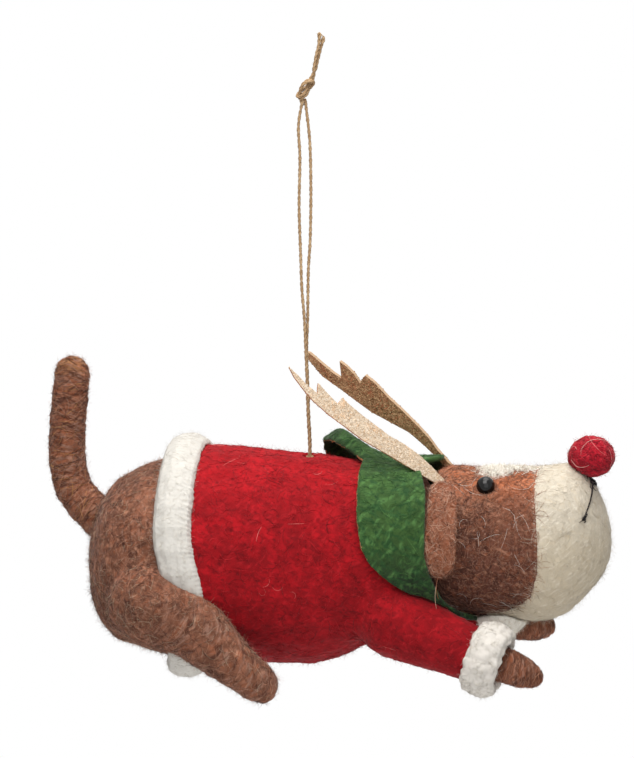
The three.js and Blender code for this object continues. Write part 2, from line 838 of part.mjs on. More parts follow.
// The outline of the slot round an antler's foot
function slotOutline(low, high, clearance) {
  const bottom = -ANTLER_SLOT_DEPTH - clearance;
  return [
    new THREE.Vector2(bottom, low.y - clearance),
    new THREE.Vector2(ANTLER_LENGTH / 2, low.y - clearance - ANTLER_WIDTH / 2),
    new THREE.Vector2(ANTLER_LENGTH / 2, high.y + clearance + ANTLER_WIDTH / 2),
    new THREE.Vector2(bottom, high.y + clearance),
  ];
}

// Collar: one sheet of green felt round the neck. The turn starts at the top and goes down the dog's right
// side. Its rear edge sweeps forwards under the throat, and the left lobe stands loose above the coat.
// Each row is the turn, the rear and front edges from the torso's front over its length, and the lobe's lift.
const COLLAR_SHARES = [
  [-0.5, 0.11, 0.15, 0],
  [-0.42, -0.02, 0.1, 0],
  [-0.34, -0.14, 0.03, 0],
  [-0.25, -0.25, 0, 0.15],
  [-0.17, -0.32, 0.01, 0.6],
  [-0.13, -0.348, 0.01, 0.95],
  [-0.09, -0.36, 0.015, 1.15],
  [-0.068, -0.352, 0.015, 1.12],
  [-0.044, -0.32, 0.015, 0.95],
  [-0.022, -0.288, 0.015, 0.65],
  [0, -0.248, 0.01, 0.25],
  [0.015, -0.215, -0.01, 0.05],
  [0.03, -0.207, -0.032, 0],
  [0.053, -0.21, -0.038, 0],
  [0.09, -0.209, -0.026, 0],
  [0.12, -0.205, -0.012, 0],
  [0.15, -0.202, -0.008, 0],
  [0.19, -0.193, -0.005, 0],
  [0.22, -0.182, -0.005, 0],
  [0.25, -0.162, -0.005, 0],
  [0.29, -0.114, 0.005, 0],
  [0.345, -0.037, 0.03, 0],
  [0.391, 0.021, 0.055, 0],
  [0.45, 0.07, 0.11, 0],
  [0.5, 0.11, 0.15, 0],
];
// The lobe's section from its front edge to its rear: it rises to a hump and curls down at the end
const COLLAR_LOBE_SHARES = [
  [0, 0],
  [0.5, 0.12],
  [0.65, 0.3],
  [0.75, 0.58],
  [0.83, 0.85],
  [0.9, 1],
  [0.96, 0.85],
  [1, 0.55],
];
// The bell that the sheet lies on: where, from the torso's front, then half height, half width and middle
const COLLAR_BELL_SHARES = [
  [-0.36, 1.045, 1.045, 0.0],
  [-0.22, 0.93, 0.95, 0.03],
  [-0.11, 0.82, 0.84, 0.076],
  [-0.02, 0.775, 0.81, 0.11],
  [0.07, 0.77, 0.845, 0.125],
  [0.16, 0.785, 0.86, 0.125],
];
function collarSheet(clearance = 0) {
  const loops = [];
  for (let turn = 0; turn < COLLAR_TURNS; turn++) {
    const turnShare = turn / COLLAR_TURNS - 0.5;
    const rear = follow(COLLAR_SHARES, turnShare, 1) - clearance / TORSO_LENGTH;
    const front = follow(COLLAR_SHARES, turnShare, 2) + clearance / TORSO_LENGTH;
    const lift = Math.max(follow(COLLAR_SHARES, turnShare, 3), 0) * COLLAR_LIFT;
    const angle = 2 * Math.PI * turnShare;
    const at = (step, depth) => {
      const reach = step / COLLAR_STEPS;
      const along = rear + (front - rear) * reach;
      const stand = depth + lift * Math.max(follow(COLLAR_LOBE_SHARES, 1 - reach, 1), 0);
      const halfHigh = (TORSO_HEIGHT / 2) * follow(COLLAR_BELL_SHARES, along, 1) + stand;
      const halfWide = (TORSO_WIDTH / 2) * follow(COLLAR_BELL_SHARES, along, 2) + stand;
      const rise = TORSO_HEIGHT * follow(COLLAR_BELL_SHARES, along, 3);
      return new THREE.Vector3(
        torsoFront + along * TORSO_LENGTH,
        -halfWide * Math.sin(angle),
        torsoAxis + rise + halfHigh * Math.cos(angle),
      );
    };
    const loop = [];
    for (let step = 0; step <= COLLAR_STEPS; step++) loop.push(at(step, COLLAR_THICKNESS + clearance));
    for (let step = COLLAR_STEPS; step >= 0; step--) loop.push(at(step, -clearance));
    loops.push(loop);
  }
  return solidOf(ringSkin(loops));
}

// Wires: a soft iron wire inside the tail and each leg, from inside the torso almost to the tip
const WIRE_START_SHARE = 0.03;
const WIRE_END_SHARE = 0.86;
const WIRE_BORE_END_SHARE = 0.88;
function wire(line) {
  return tube(line, WIRE_DIAMETER, WIRE_STEPS, WIRE_START_SHARE, WIRE_END_SHARE, WIRE_SIDES);
}

function wireBore(line) {
  return solidOf(tube(line, WIRE_DIAMETER + 2 * SEAT_GAP, WIRE_STEPS, 0, WIRE_BORE_END_SHARE, WIRE_SIDES));
}

// Sewn stitch: the twine's buried end, in a bore through the coat
function stitchLine(top, bottom) {
  return new THREE.LineCurve3(new THREE.Vector3(0, 0, top), new THREE.Vector3(0, 0, bottom));
}
const stitchTop = -RUNNING_GAP / 2;
const stitchForm = new Form({
  line: stitchLine(stitchTop - STITCH_LENGTH, stitchTop),
  across: AXIS_Y,
  shares: [
    [0, 1, 1, 0],
    [0.35, 0.8, 0.8, 0],
    [1, 0.8, 0.8, 0],
  ],
  wide: STITCH_WIDTH,
  high: STITCH_WIDTH,
  startRoundShare: 0.2,
  endRoundShare: 0.05,
  steps: SLIM_STEPS,
  sides: BAND_SIDES,
});
const stitchBore = solidOf(
  tube(stitchLine(CUT_OVERRUN, stitchTop - STITCH_LENGTH - SEAT_GAP), STITCH_WIDTH + 2 * SEAT_GAP, 1),
);

// The dog, placed where its twine is sewn in
function dog() {
  const sides = [
    {
      name: "right",
      mirror: -1,
      hind: hindLeg(-1, NEAR_HIND_LINE_SHARES),
      fore: foreleg(-1, NEAR_REACH_SHARES),
      sleeve: sleeve(-1, NEAR_REACH_SHARES, NEAR_SLEEVE_SHARE),
      antlerShares: NEAR_ANTLER_SHARES,
    },
    {
      name: "left",
      mirror: 1,
      hind: hindLeg(1, FAR_HIND_LINE_SHARES),
      fore: foreleg(1, FAR_REACH_SHARES),
      sleeve: sleeve(1, FAR_REACH_SHARES, FAR_SLEEVE_SHARE),
      antlerShares: FAR_ANTLER_SHARES,
    },
  ];
  const tailBore = wireBore(tail.line);
  for (const side of sides) {
    side.hindBore = wireBore(side.hind.line);
    side.foreBore = wireBore(side.fore.line);
  }
  const bores = [tailBore, ...sides.flatMap((side) => [side.hindBore, side.foreBore])];

  const group = new THREE.Group();
  const add = (name, finish, shape) => group.add(piece(name, finish, shape));

  const torsoRoom = torso.solid(SEAT_GAP);
  const throatRoom = throat.solid(SEAT_GAP);
  const coatRoom = torso.solid(coatOuter + SEAT_GAP).intersect(
    slab(
      new THREE.Vector3(coatRear - SEAT_GAP, -TORSO_WIDTH, torsoAxis - TORSO_HEIGHT),
      new THREE.Vector3(coatFront + SEAT_GAP, TORSO_WIDTH, torsoAxis + TORSO_HEIGHT),
    ),
  );
  const headRoom = head.solid(SEAT_GAP + MUZZLE_PROUD);

  add("torso", "brown", cut(torso.solid(), stitchBore, ...bores));
  const coat = cut(torso.solid(coatOuter).intersect(coatSpan()), torsoRoom, stitchBore, ...bores, headRoom);
  add("coat", "red", coat);

  add("hem_trim", "white", cut(hem(), torsoRoom, coatRoom, ...bores));
  const hemRoom = hem(SEAT_GAP);

  add("tail", "brown", cut(tail.solid(), torsoRoom, tailBore));
  add("tail_wire", "wire", wire(tail.line));

  const antlerSlots = sides.map((side) => antler(side.mirror, side.antlerShares, SEAT_GAP));
  const eyeSockets = sides.map((side) => eye(side.mirror, SEAT_GAP));
  const brown = cut(
    head.solid(),
    whiteSide(),
    blazeStrip(SEAT_GAP).subtract(head.solid(-BLAZE_THICKNESS - SEAT_GAP)),
    torsoRoom,
    ...antlerSlots,
    ...eyeSockets,
  );
  add("head", "brown", brown);
  const proud = head.solid(MUZZLE_PROUD);
  add("muzzle", "cream", largest(proud.intersect(whiteSide(SEAT_GAP))));
  const blaze = proud.intersect(blazeStrip(0)).subtract(head.solid(-BLAZE_THICKNESS));
  add("blaze", "cream", cut(blaze, ...eyeSockets));
  add("throat", "cream", cut(throat.solid(), headRoom));
  add("nose", "noseRed", cut(nose.solid(), headRoom));
  const mouth = mouthStrand(MOUTH_STEM_SHARES, 1)
    .add(mouthStrand(MOUTH_CURVE_SHARES, 1))
    .add(mouthStrand(MOUTH_CURVE_SHARES, -1));
  add("mouth_stitch", "thread", cut(mouth, nose.solid(SEAT_GAP)));

  const neckRooms = sides.flatMap((side) => [side.sleeve.solid(SEAT_GAP), cuff(side.sleeve, SEAT_GAP)]);
  const collarRooms = [torsoRoom, coatRoom, headRoom, throatRoom, ...neckRooms, ...antlerSlots];
  add("collar", "green", cut(collarSheet(), ...collarRooms));
  const collarRoom = collarSheet(SEAT_GAP);

  for (const side of sides) {
    const foreRoom = side.fore.solid(SEAT_GAP);
    const sleeveRoom = side.sleeve.solid(SEAT_GAP);
    const hind = cut(side.hind.solid(), torsoRoom, coatRoom, hemRoom, side.hindBore);
    add(`hind_leg_${side.name}`, "brown", hind);
    add(`hind_wire_${side.name}`, "wire", wire(side.hind.line));
    add(`sleeve_${side.name}`, "red", cut(side.sleeve.solid(), coatRoom, torsoRoom, headRoom, foreRoom));
    add(`foreleg_${side.name}`, "brown", cut(side.fore.solid(), coatRoom, torsoRoom, side.foreBore));
    add(`fore_wire_${side.name}`, "wire", wire(side.fore.line));
    add(`cuff_${side.name}`, "white", cut(cuff(side.sleeve), sleeveRoom, foreRoom, headRoom, throatRoom));
    const flap = cut(ear(side.mirror).solid(), headRoom, torsoRoom, coatRoom, collarRoom);
    add(`ear_${side.name}`, "brown", flap);
    add(`eye_${side.name}`, "bead", eye(side.mirror));
    add(`antler_${side.name}`, "glitter", antler(side.mirror, side.antlerShares));
  }
  add("sewn_stitch", "twine", stitchForm.geometry());
  return group;
}

// Twine routes in the ornament's own frame, chosen by hand from the knot down to the coat
const LOOP_ROUTE_A = [
  [-0.5, -0.35, -1.1],
  [-1.24, -0.5, -6.6],
  [-0.85, -0.5, -14.7],
  [-1.08, -0.4, -27.4],
  [-0.66, -0.5, -40],
  [-0.35, -0.6, -48.4],
  [0.34, -0.6, -56.9],
  [0.7, -0.6, -65],
];
const LOOP_ROUTE_B = [
  [0.6, 0.35, -1.1],
  [1.6, 0.5, -10.7],
  [1.87, 0.5, -23.2],
  [1.71, 0.4, -35.8],
  [1.2, 0.5, -44.2],
  [1, 0.6, -56.9],
  [0.75, 0.6, -65],
];
const NECK_ROUTE = [
  [0.73, -65.3],
  [1.03, -73.7],
  [1.3, -82],
  [1.62, -88],
  [1.7, -92],
];
const END_ROUTE_A = [
  [2.7, -0.5, 8],
  [3.3, -0.55, 11.8],
  [4.3, -0.6, 16],
  [4.2, -0.6, 18.8],
];
const END_ROUTE_B = [
  [3, 0.5, 8],
  [3.9, 0.55, 12],
  [4.9, 0.6, 15.4],
  [5.5, 0.6, 17.4],
];
const KNOT_BACK_SHARE = 0.06; // its foot stands behind the hook by this share of its length
const KNOT_LEAN_SHARE = 0.4;

function routed(route) {
  return new THREE.CatmullRomCurve3(route.map((place) => new THREE.Vector3(...place)));
}

function twine() {
  const group = new THREE.Group();
  const strand = (name, route, steps) =>
    group.add(piece(name, "twine", tube(routed(route), TWINE_DIAMETER, steps)));
  const knot = new Form({
    line: new THREE.LineCurve3(
      new THREE.Vector3(-KNOT_LENGTH * KNOT_BACK_SHARE, 0, RUNNING_GAP / 2),
      new THREE.Vector3(KNOT_LENGTH * KNOT_LEAN_SHARE, 0, KNOT_LENGTH),
    ),
    across: AXIS_Y,
    shares: [
      [0, 0.95, 0.95, 0],
      [0.3, 1, 1, 0],
      [0.6, 0.85, 0.85, 0],
      [1, 0.7, 0.7, 0],
    ],
    wide: KNOT_WIDTH,
    high: KNOT_WIDTH,
    startRoundShare: 0.3,
    endRoundShare: 0.3,
    steps: SLIM_STEPS,
    sides: SLIM_SIDES,
  });
  group.add(piece("cord_knot", "twine", knot.geometry()));
  strand("cord_end_a", END_ROUTE_A, END_STEPS);
  strand("cord_end_b", END_ROUTE_B, END_STEPS);
  strand("loop_strand_a", LOOP_ROUTE_A, LOOP_STEPS);
  strand("loop_strand_b", LOOP_ROUTE_B, LOOP_STEPS);
  strand("neck_strand_a", NECK_ROUTE.map(([x, z]) => [x, -TWINE_PAIR_HALF, z]), NECK_STEPS);
  strand("neck_strand_b", NECK_ROUTE.map(([x, z]) => [x, TWINE_PAIR_HALF, z]), NECK_STEPS);
  return group;
}

const ornament = new THREE.Group();
ornament.add(twine());
const hanging = dog();
hanging.position.set(TWINE_LEAN, 0, -TWINE_DROP);
ornament.add(hanging);

export default ornament;
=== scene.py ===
"""Dresses the needle-felted dog ornament and its twine loop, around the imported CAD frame.

Everything is in metres in the frame of the CAD: +X towards the nose, +Y to the dog's left, +Z up.
"""
from __future__ import annotations

import logging
import math
from collections.abc import Callable, Iterator, Sequence
from contextlib import contextmanager
from dataclasses import dataclass, field, replace
from enum import Enum
from functools import partial
from typing import Any, ClassVar, Optional, Union

import bpy
import numpy as np
from mathutils import Matrix, Vector
from mathutils.bvhtree import BVHTree


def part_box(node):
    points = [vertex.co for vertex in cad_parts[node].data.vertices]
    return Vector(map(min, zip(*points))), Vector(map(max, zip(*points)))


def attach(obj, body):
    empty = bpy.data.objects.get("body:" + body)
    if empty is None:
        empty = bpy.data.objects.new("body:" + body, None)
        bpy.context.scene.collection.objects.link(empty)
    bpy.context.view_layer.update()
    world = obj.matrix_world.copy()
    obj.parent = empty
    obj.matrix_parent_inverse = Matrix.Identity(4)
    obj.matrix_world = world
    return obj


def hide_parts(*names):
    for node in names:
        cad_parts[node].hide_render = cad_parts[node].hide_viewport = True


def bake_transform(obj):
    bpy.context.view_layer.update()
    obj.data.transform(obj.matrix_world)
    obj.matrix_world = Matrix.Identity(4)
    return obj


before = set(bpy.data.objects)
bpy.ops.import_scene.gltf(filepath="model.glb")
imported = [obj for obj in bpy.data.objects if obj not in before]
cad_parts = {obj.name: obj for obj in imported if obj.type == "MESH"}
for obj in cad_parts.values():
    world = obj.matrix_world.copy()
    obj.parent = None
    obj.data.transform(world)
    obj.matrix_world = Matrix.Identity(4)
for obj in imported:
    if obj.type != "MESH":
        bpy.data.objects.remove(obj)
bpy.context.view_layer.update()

LOG = logging.getLogger("ornament")
MM = 0.001
DOG = "dog"
SIDES = ("right", "left")
SEWN_POINT = Vector((0.0017, 0.0, -0.0922))
Piece = bpy.types.Object
Material = bpy.types.Material
Rows = np.ndarray
Rule = Callable[[Rows, Rows], Rows]
Colour = tuple[float, float, float, float]
Triple = tuple[float, float, float]
Route = tuple[Triple, ...]
Pair = tuple[float, float]
Pixel = Pair
Palette = dict[Colour, float]
Relief = tuple[Pair, ...]


def tint(red: float, green: float, blue: float) -> Colour:
    """Gives the linear colour of an sRGB one.

    Args:
        red: red from 0 to 255.
        green: green from 0 to 255.
        blue: blue from 0 to 255.

    Returns:
        The linear red, green and blue, with an alpha of 1.
    """
    shares = (value / 255 for value in (red, green, blue))
    linear = [share / 12.92 if share <= 0.04045 else ((share + 0.055) / 1.055) ** 2.4 for share in shares]
    return (linear[0], linear[1], linear[2], 1.0)


# Node trees


class Signal:
    """An output socket of a node tree, with arithmetic that adds Math nodes."""

    def __init__(self, bench: NodeBench, socket: bpy.types.NodeSocket) -> None:
        """Wraps a socket of a bench's tree."""
        self.bench = bench
        self.socket = socket

    def _math(self, operation: str, first: Mix, second: Mix) -> Signal:
        """Adds a Math node on two values."""
        return self.bench.node("ShaderNodeMath", {"operation": operation}, {0: first, 1: second})

    def __add__(self, other: Mix) -> Signal:
        """Adds a value."""
        return self._math("ADD", self, other)

    def __sub__(self, other: Mix) -> Signal:
        """Takes a value away."""
        return self._math("SUBTRACT", self, other)

    def __rsub__(self, other: Mix) -> Signal:
        """Takes this away from a value."""
        return self._math("SUBTRACT", other, self)

    def __mul__(self, other: Mix) -> Signal:
        """Multiplies by a value."""
        return self._math("MULTIPLY", self, other)

    __radd__ = __add__
    __rmul__ = __mul__

    def above(self, low: float, high: float) -> Signal:
        """Rises smoothly from 0 at low to 1 at high."""
        sockets = {0: self, 1: low, 2: high, 3: 0.0, 4: 1.0}
        return self.bench.node("ShaderNodeMapRange", {"interpolation_type": "SMOOTHSTEP"}, sockets)


Mix = Union[Signal, float]


class NodeBench:
    """The node tree of a material or a world, in which one method adds every node."""

    def __init__(self, owner: Union[str, bpy.types.World]) -> None:
        """Clears the tree.

        Args:
            owner: the world, or the name of a new material.
        """
        self.owner = bpy.data.materials.new(owner) if isinstance(owner, str) else owner
        self.owner.use_nodes = True
        self.tree = self.owner.node_tree
        self.tree.nodes.clear()

    def node(
        self, kind: str, settings: Optional[dict[str, Any]] = None,
        sockets: Optional[dict[Any, Any]] = None, output: Union[int, str] = 0,
    ) -> Signal:
        """Adds a node.

        Args:
            kind: the node's type.
            settings: its properties, set first.
            sockets: values or links of its inputs, by index or name.
            output: which of its outputs is given back.

        Returns:
            The chosen output.
        """
        made = self.tree.nodes.new(kind)
        for key, value in (settings or {}).items():
            setattr(made, key, value)
        for key, value in (sockets or {}).items():
            if isinstance(value, Signal):
                self.tree.links.new(value.socket, made.inputs[key])
            else:
                made.inputs[key].default_value = value
        return Signal(self, made.outputs[output])

    def place(self) -> Signal:
        """Gives the Object coordinates."""
        return self.node("ShaderNodeTexCoord", output="Object")

    def attribute(self, name: str, output: str = "Vector") -> Signal:
        """Gives an attribute of the mesh."""
        return self.node("ShaderNodeAttribute", {"attribute_name": name}, output=output)

    def vector(self, operation: str, first: Any, second: Any, output: int = 0) -> Signal:
        """Adds a Vector Math node on two vectors."""
        return self.node("ShaderNodeVectorMath", {"operation": operation}, {0: first, 1: second}, output)

    def mapped(self, coords: Signal, turn: Triple, size: Triple, shift: float = 0.0) -> Signal:
        """Turns coordinates and then counts them in sizes.

        Args:
            coords: the coordinates in metres.
            turn: the angles in degrees.
            size: the sizes in mm.
            shift: how far the pattern starts off, in mm.

        Returns:
            The coordinates, where 1 is one size.
        """
        angles = tuple(math.radians(angle) for angle in turn)
        start = (shift * MM, shift * 0.7 * MM, shift * 0.3 * MM)
        sockets = {0: coords, 1: start, 2: angles, 3: tuple(side * MM for side in size)}
        return self.node("ShaderNodeMapping", {"vector_type": "TEXTURE"}, sockets)

    def noise(self, coords: Signal, scale: float = 1.0, detail: float = 1.0, output: str = "Fac") -> Signal:
        """Adds a noise texture."""
        sockets = {"Vector": coords, "Scale": scale, "Detail": detail, "Roughness": 0.55}
        return self.node("ShaderNodeTexNoise", {}, sockets, output)

    def warped(self, coords: Signal, size: float, amount: float) -> Signal:
        """Bends coordinates by a soft noise.

        Args:
            coords: the coordinates in metres.
            size: the size of the bends in metres.
            amount: how far they go, in metres.

        Returns:
            The bent coordinates.
        """
        soft = self.noise(coords, 1 / size, 1.0, "Color")
        centred = self.vector("SUBTRACT", soft, (0.5, 0.5, 0.5))
        push = self.vector("MULTIPLY", centred, (amount * 2,) * 3)
        return self.vector("ADD", coords, push)

    def laid(self, share: Mix, under: Any, over: Any) -> Signal:
        """Lays one colour over another by a share."""
        return self.node("ShaderNodeMix", {"data_type": "RGBA"}, {0: share, 6: under, 7: over}, 2)

    def dress(
        self, colour: Any, height: Optional[Signal] = None, depth: float = 0.3 * MM, bump: float = 0.7,
        **sockets: Any,
    ) -> Material:
        """Ends the tree in a Principled surface.

        Args:
            colour: the base colour or its link.
            height: what the bump follows.
            depth: the bump's distance in metres.
            bump: the bump's strength.
            sockets: other inputs, with underscores for the spaces in their names.

        Returns:
            The material.
        """
        values = {key.replace("_", " "): value for key, value in sockets.items()}
        if height is not None:
            bumped = {"Strength": bump, "Distance": depth, "Height": height}
            values["Normal"] = self.node("ShaderNodeBump", {}, bumped)
        surface = self.node("ShaderNodeBsdfPrincipled", {}, {"Base Color": colour, **values})
        self.end(surface)
        return self.owner

    def end(self, surface: Signal, kind: str = "ShaderNodeOutputMaterial") -> None:
        """Links a shader to the tree's output."""
        self.tree.links.new(surface.socket, self.tree.nodes.new(kind).inputs[0])


# Finishes


@dataclass(frozen=True)
class Tone:
    """A colour of fibre that runs through a felt in streaks.

    The streaks are long by wide in mm and turned by degrees. They show where their noise is over the cut,
    with an edge as soft as soft, and cover what is under them by their strength.
    """

    colour: Colour
    cut: float = 0.55
    long: float = 3.0
    wide: float = 0.45
    turn: Triple = (0, 0, 0)
    strength: float = 0.85
    soft: float = 0.06


@dataclass(frozen=True)
class Wash:
    """A colour that comes in from start to end over a piece, in metres. Several washes here are painted shade
    towards a piece's bottom, and two are painted light towards its top.
    """

    colour: Colour
    start: Triple
    end: Triple
    strength: float = 0.6


@dataclass(frozen=True)
class Felt:
    """Felted or wrapped wool: a ground colour with streaks of other fibres and needle pits, sized in mm. The
    pits' darker colour is painted shade.
    """

    name: str
    ground: Colour
    tones: tuple[Tone, ...]
    washes: tuple[Wash, ...] = ()
    # The pit colour is painted shade for the needle pits' recesses.
    pit: Optional[Colour] = None
    pit_gap: float = 2.4
    pit_size: float = 0.16
    sheen: float = 0.12
    bump: float = 0.55
    depth: float = 0.35
    mottle: float = 0.2
    wound: bool = False
    BENDS: ClassVar[Relief] = ((5.0, 0.9), (1.4, 0.35))
    GRAIN: ClassVar[float] = 0.8
    BLOTCHES: ClassVar[tuple[float, ...]] = (8.0, 2.4)
    DARKER: ClassVar[float] = 0.45
    PIT_EDGE: ClassVar[float] = 0.13

    def streaks(self, bench: NodeBench, coords: Signal, tone: Tone, index: int) -> Signal:
        """Gives the noise that one tone's streaks follow."""
        size = (tone.wide, tone.long, tone.long) if self.wound else (tone.long, tone.wide, tone.wide)
        return bench.noise(bench.mapped(coords, tone.turn, size, 37.0 * (index + 1)), 1.0, 1.5)

    def colours(self, bench: NodeBench) -> tuple[Signal, Signal]:
        """Builds the felt's colour and height.

        Args:
            bench: the tree that it is built in.

        Returns:
            The colour and the height.
        """
        place = bench.place()
        coords = bench.attribute("wind") if self.wound else place
        for size, amount in self.BENDS:
            coords = bench.warped(coords, size * MM, amount * MM)
        dark = tuple(value * self.DARKER for value in self.ground[:3]) + (1.0,)
        colour: Any = self.ground
        for size in self.BLOTCHES:
            blotch = bench.noise(place, 1 / (size * MM), 1.5)
            colour = bench.laid(blotch.above(0.62, 0.36) * (self.mottle * 1.6), colour, dark)
        height: Mix = bench.noise(place, 1 / (self.GRAIN * MM), 1.5) * 0.5
        for wash in self.washes:
            colour = bench.laid(self.washed(bench, place, wash), colour, wash.colour)
        for index, tone in enumerate(self.tones):
            streak = self.streaks(bench, coords, tone, index)
            mask = streak.above(tone.cut, tone.cut + tone.soft)
            colour = bench.laid(mask * tone.strength, colour, tone.colour)
            height = height + streak * (1.6 / len(self.tones))
        # Painted shade: the needle pits are darkened in colour, besides being dented by the bump.
        if self.pit is not None:
            spots = {"Vector": coords, "Scale": 1 / (self.pit_gap * MM), "Randomness": 1.0}
            near = bench.node("ShaderNodeTexVoronoi", {"feature": "F1"}, spots, "Distance")
            deep = near.above(self.pit_size + self.PIT_EDGE, self.pit_size - self.PIT_EDGE)
            colour = bench.laid(deep * 0.6, colour, self.pit)
            height = height - deep * 0.7
        return colour, height

    @staticmethod
    def washed(bench: NodeBench, place: Signal, wash: Wash) -> Signal:
        """Gives a wash's share over the piece.

        Args:
            bench: the tree that it is built in.
            place: the Object coordinates.
            wash: the wash.

        Returns:
            The share.
        """
        start, end = Vector(wash.start), Vector(wash.end)
        way = (end - start) / (end - start).length_squared
        offset = bench.vector("SUBTRACT", place, tuple(start))
        reach = bench.vector("DOT_PRODUCT", offset, tuple(way), 1)
        return reach.above(0.0, 1.0) * wash.strength

    def surface(self, bench: NodeBench, colour: Signal, height: Signal, **sockets: Any) -> Material:
        """Ends a tree in this felt's dry surface."""
        return bench.dress(
            colour, height, self.depth * MM, self.bump, Roughness=0.92, Sheen_Weight=self.sheen,
            Specular_IOR_Level=0.2, **sockets,
        )

    def make(self) -> Material:
        """Makes the material."""
        bench = NodeBench(self.name)
        return self.surface(bench, *self.colours(bench), Sheen_Roughness=0.4)


@dataclass(frozen=True)
class BlendedFelt:
    """Two felts on one piece, the second coming in by the attribute share, with a ragged border."""

    name: str
    body: Felt
    limb: Felt
    ragged: float = 0.0

    def make(self) -> Material:
        """Makes the material.

        Returns:
            The material.
        """
        bench = NodeBench(self.name)
        first, low = self.body.colours(bench)
        second, high = self.limb.colours(bench)
        share = bench.attribute("share", "Fac")
        if self.ragged:
            stray = bench.noise(bench.mapped(bench.place(), (0, 20, 0), (2.6, 0.5, 0.4)), 1.0, 2.0)
            share = (share + (stray - 0.5) * self.ragged).above(0.36, 0.64)
        colour = bench.laid(share, first, second)
        return self.body.surface(bench, colour, low * (1 - share) + high * share, Sheen_Roughness=0.4)


@dataclass(frozen=True)
class EdgedFelt:
    """A felt sheet whose cut edge has its own colour, by the attribute rim; on the collar that colour is
    partly painted light.
    """

    name: str
    face: Felt
    edge: Colour

    def make(self) -> Material:
        """Makes the material.

        Returns:
            The material.
        """
        bench = NodeBench(self.name)
        colour, height = self.face.colours(bench)
        rim = bench.attribute("rim", "Fac")
        fleck = bench.noise(bench.place(), 1 / (self.face.GRAIN * MM), 2.0)
        dark = tuple(value * 0.5 for value in self.edge[:3]) + (1.0,)
        cut = bench.laid(fleck.above(0.4, 0.62) * 0.5, self.edge, dark)
        return self.face.surface(bench, bench.laid(rim, colour, cut), height)


@dataclass(frozen=True)
class Plain:
    """A finish for single fibres, grains, beads and wire, the same all over."""

    name: str
    colour: Colour
    roughness: float = 0.75
    metallic: float = 0.0
    sheen: float = 0.0
    specular: float = 0.3

    def make(self) -> Material:
        """Makes the material."""
        return NodeBench(self.name).dress(
            self.colour, Roughness=self.roughness, Metallic=self.metallic, Sheen_Weight=self.sheen,
            Specular_IOR_Level=self.specular,
        )


@dataclass(frozen=True)
class Glitter:
    """A sheet covered in fine glitter, each grain tipped its own way."""

    name: str
    ground: Colour
    light: Colour
    dark: Colour
    rust: Colour
    edge: Colour
    grain: float = 0.42

    def make(self) -> Material:
        """Makes the material.

        Returns:
            The material.
        """
        bench = NodeBench(self.name)
        place = bench.place()
        cells = {"Vector": place, "Scale": 1 / (self.grain * MM)}
        grains = bench.node("ShaderNodeTexVoronoi", {"feature": "F1"}, cells, "Color")
        random = bench.node("ShaderNodeSeparateColor", {}, {0: grains})
        second = bench.node("ShaderNodeSeparateColor", {}, {0: grains}, 1)
        colour = bench.laid(random.above(0.55, 0.75), self.ground, self.light)
        colour = bench.laid(second.above(0.66, 0.8) * 0.8, colour, self.dark)
        patches = bench.noise(place, 1 / (2.6 * MM), 2.0)
        colour = bench.laid(patches.above(0.56, 0.68) * 0.75, colour, self.rust)
        tip = bench.vector("MULTIPLY", bench.vector("SUBTRACT", grains, (0.5,) * 3), (0.5,) * 3)
        facing = bench.node("ShaderNodeNewGeometry", output="Normal")
        normal = bench.vector("NORMALIZE", bench.vector("ADD", facing, tip), (0.0,) * 3)
        return bench.dress(colour, Roughness=0.5, Metallic=0.2, Normal=normal, Specular_IOR_Level=0.5)


@dataclass(frozen=True)
class Twine:
    """Golden-brown craft twine with darker fibres along each ply."""

    name: str = "twine_jute"
    ground: Colour = tint(164, 135, 102)
    dark: Colour = tint(140, 110, 80)
    pale: Colour = tint(190, 163, 128)

    def make(self) -> Material:
        """Makes the material.

        Returns:
            The material.
        """
        bench = NodeBench(self.name)
        place = bench.warped(bench.place(), 1.5 * MM, 0.3 * MM)
        fine = bench.noise(bench.mapped(place, (0, 12, 0), (0.2, 0.2, 1.4)), 1.0, 2.0)
        slubs = bench.noise(place, 1 / (2.4 * MM), 2.0)
        colour = bench.laid(fine.above(0.5, 0.62) * 0.6, self.ground, self.dark)
        colour = bench.laid(slubs.above(0.52, 0.66) * 0.6, colour, self.pale)
        return bench.dress(colour, fine, 0.1 * MM, 0.5, Roughness=0.85, Specular_IOR_Level=0.25)


class Shade(Enum):
    """The colours of the wool and the other stuffs."""

    BROWN = tint(138, 90, 69)
    TAN = tint(184, 134, 108)
    RUST = tint(146, 84, 56)
    DARK = tint(70, 40, 31)
    GREY_TAN = tint(154, 118, 102)
    GOLD = tint(186, 136, 84)
    RED = tint(164, 14, 25)
    CRIMSON = tint(96, 4, 13)
    SCARLET = tint(178, 30, 38)
    PINK = tint(226, 120, 116)
    WHITE = tint(210, 205, 198)
    CHALK = tint(205, 199, 188)
    SNOW = tint(246, 242, 233)
    CREAM = tint(199, 190, 174)
    KHAKI = tint(178, 162, 134)
    STRAW = tint(194, 178, 152)
    GREEN = tint(60, 92, 44)
    MOSS = tint(32, 66, 32)
    LEAF = tint(86, 128, 70)
    BLACK = tint(18, 15, 16)
    CHARCOAL = tint(38, 32, 32)
    JUTE = tint(196, 164, 118)
    BARK = tint(120, 92, 60)
    HAY = tint(214, 178, 122)
    HUSK = tint(140, 106, 66)
    BRICK = tint(138, 9, 20)
    BUFF = tint(206, 170, 148)
    CHERRY = tint(176, 24, 42)
    WINE = tint(104, 8, 24)
    ROSE = tint(200, 64, 74)
    BLUSH = tint(224, 168, 160)
    CORAL = tint(206, 110, 110)


def mixed(**shares: float) -> Palette:
    """Gives a mix of shades by their names, with how common each is."""
    return {Shade[name].value: share for name, share in shares.items()}


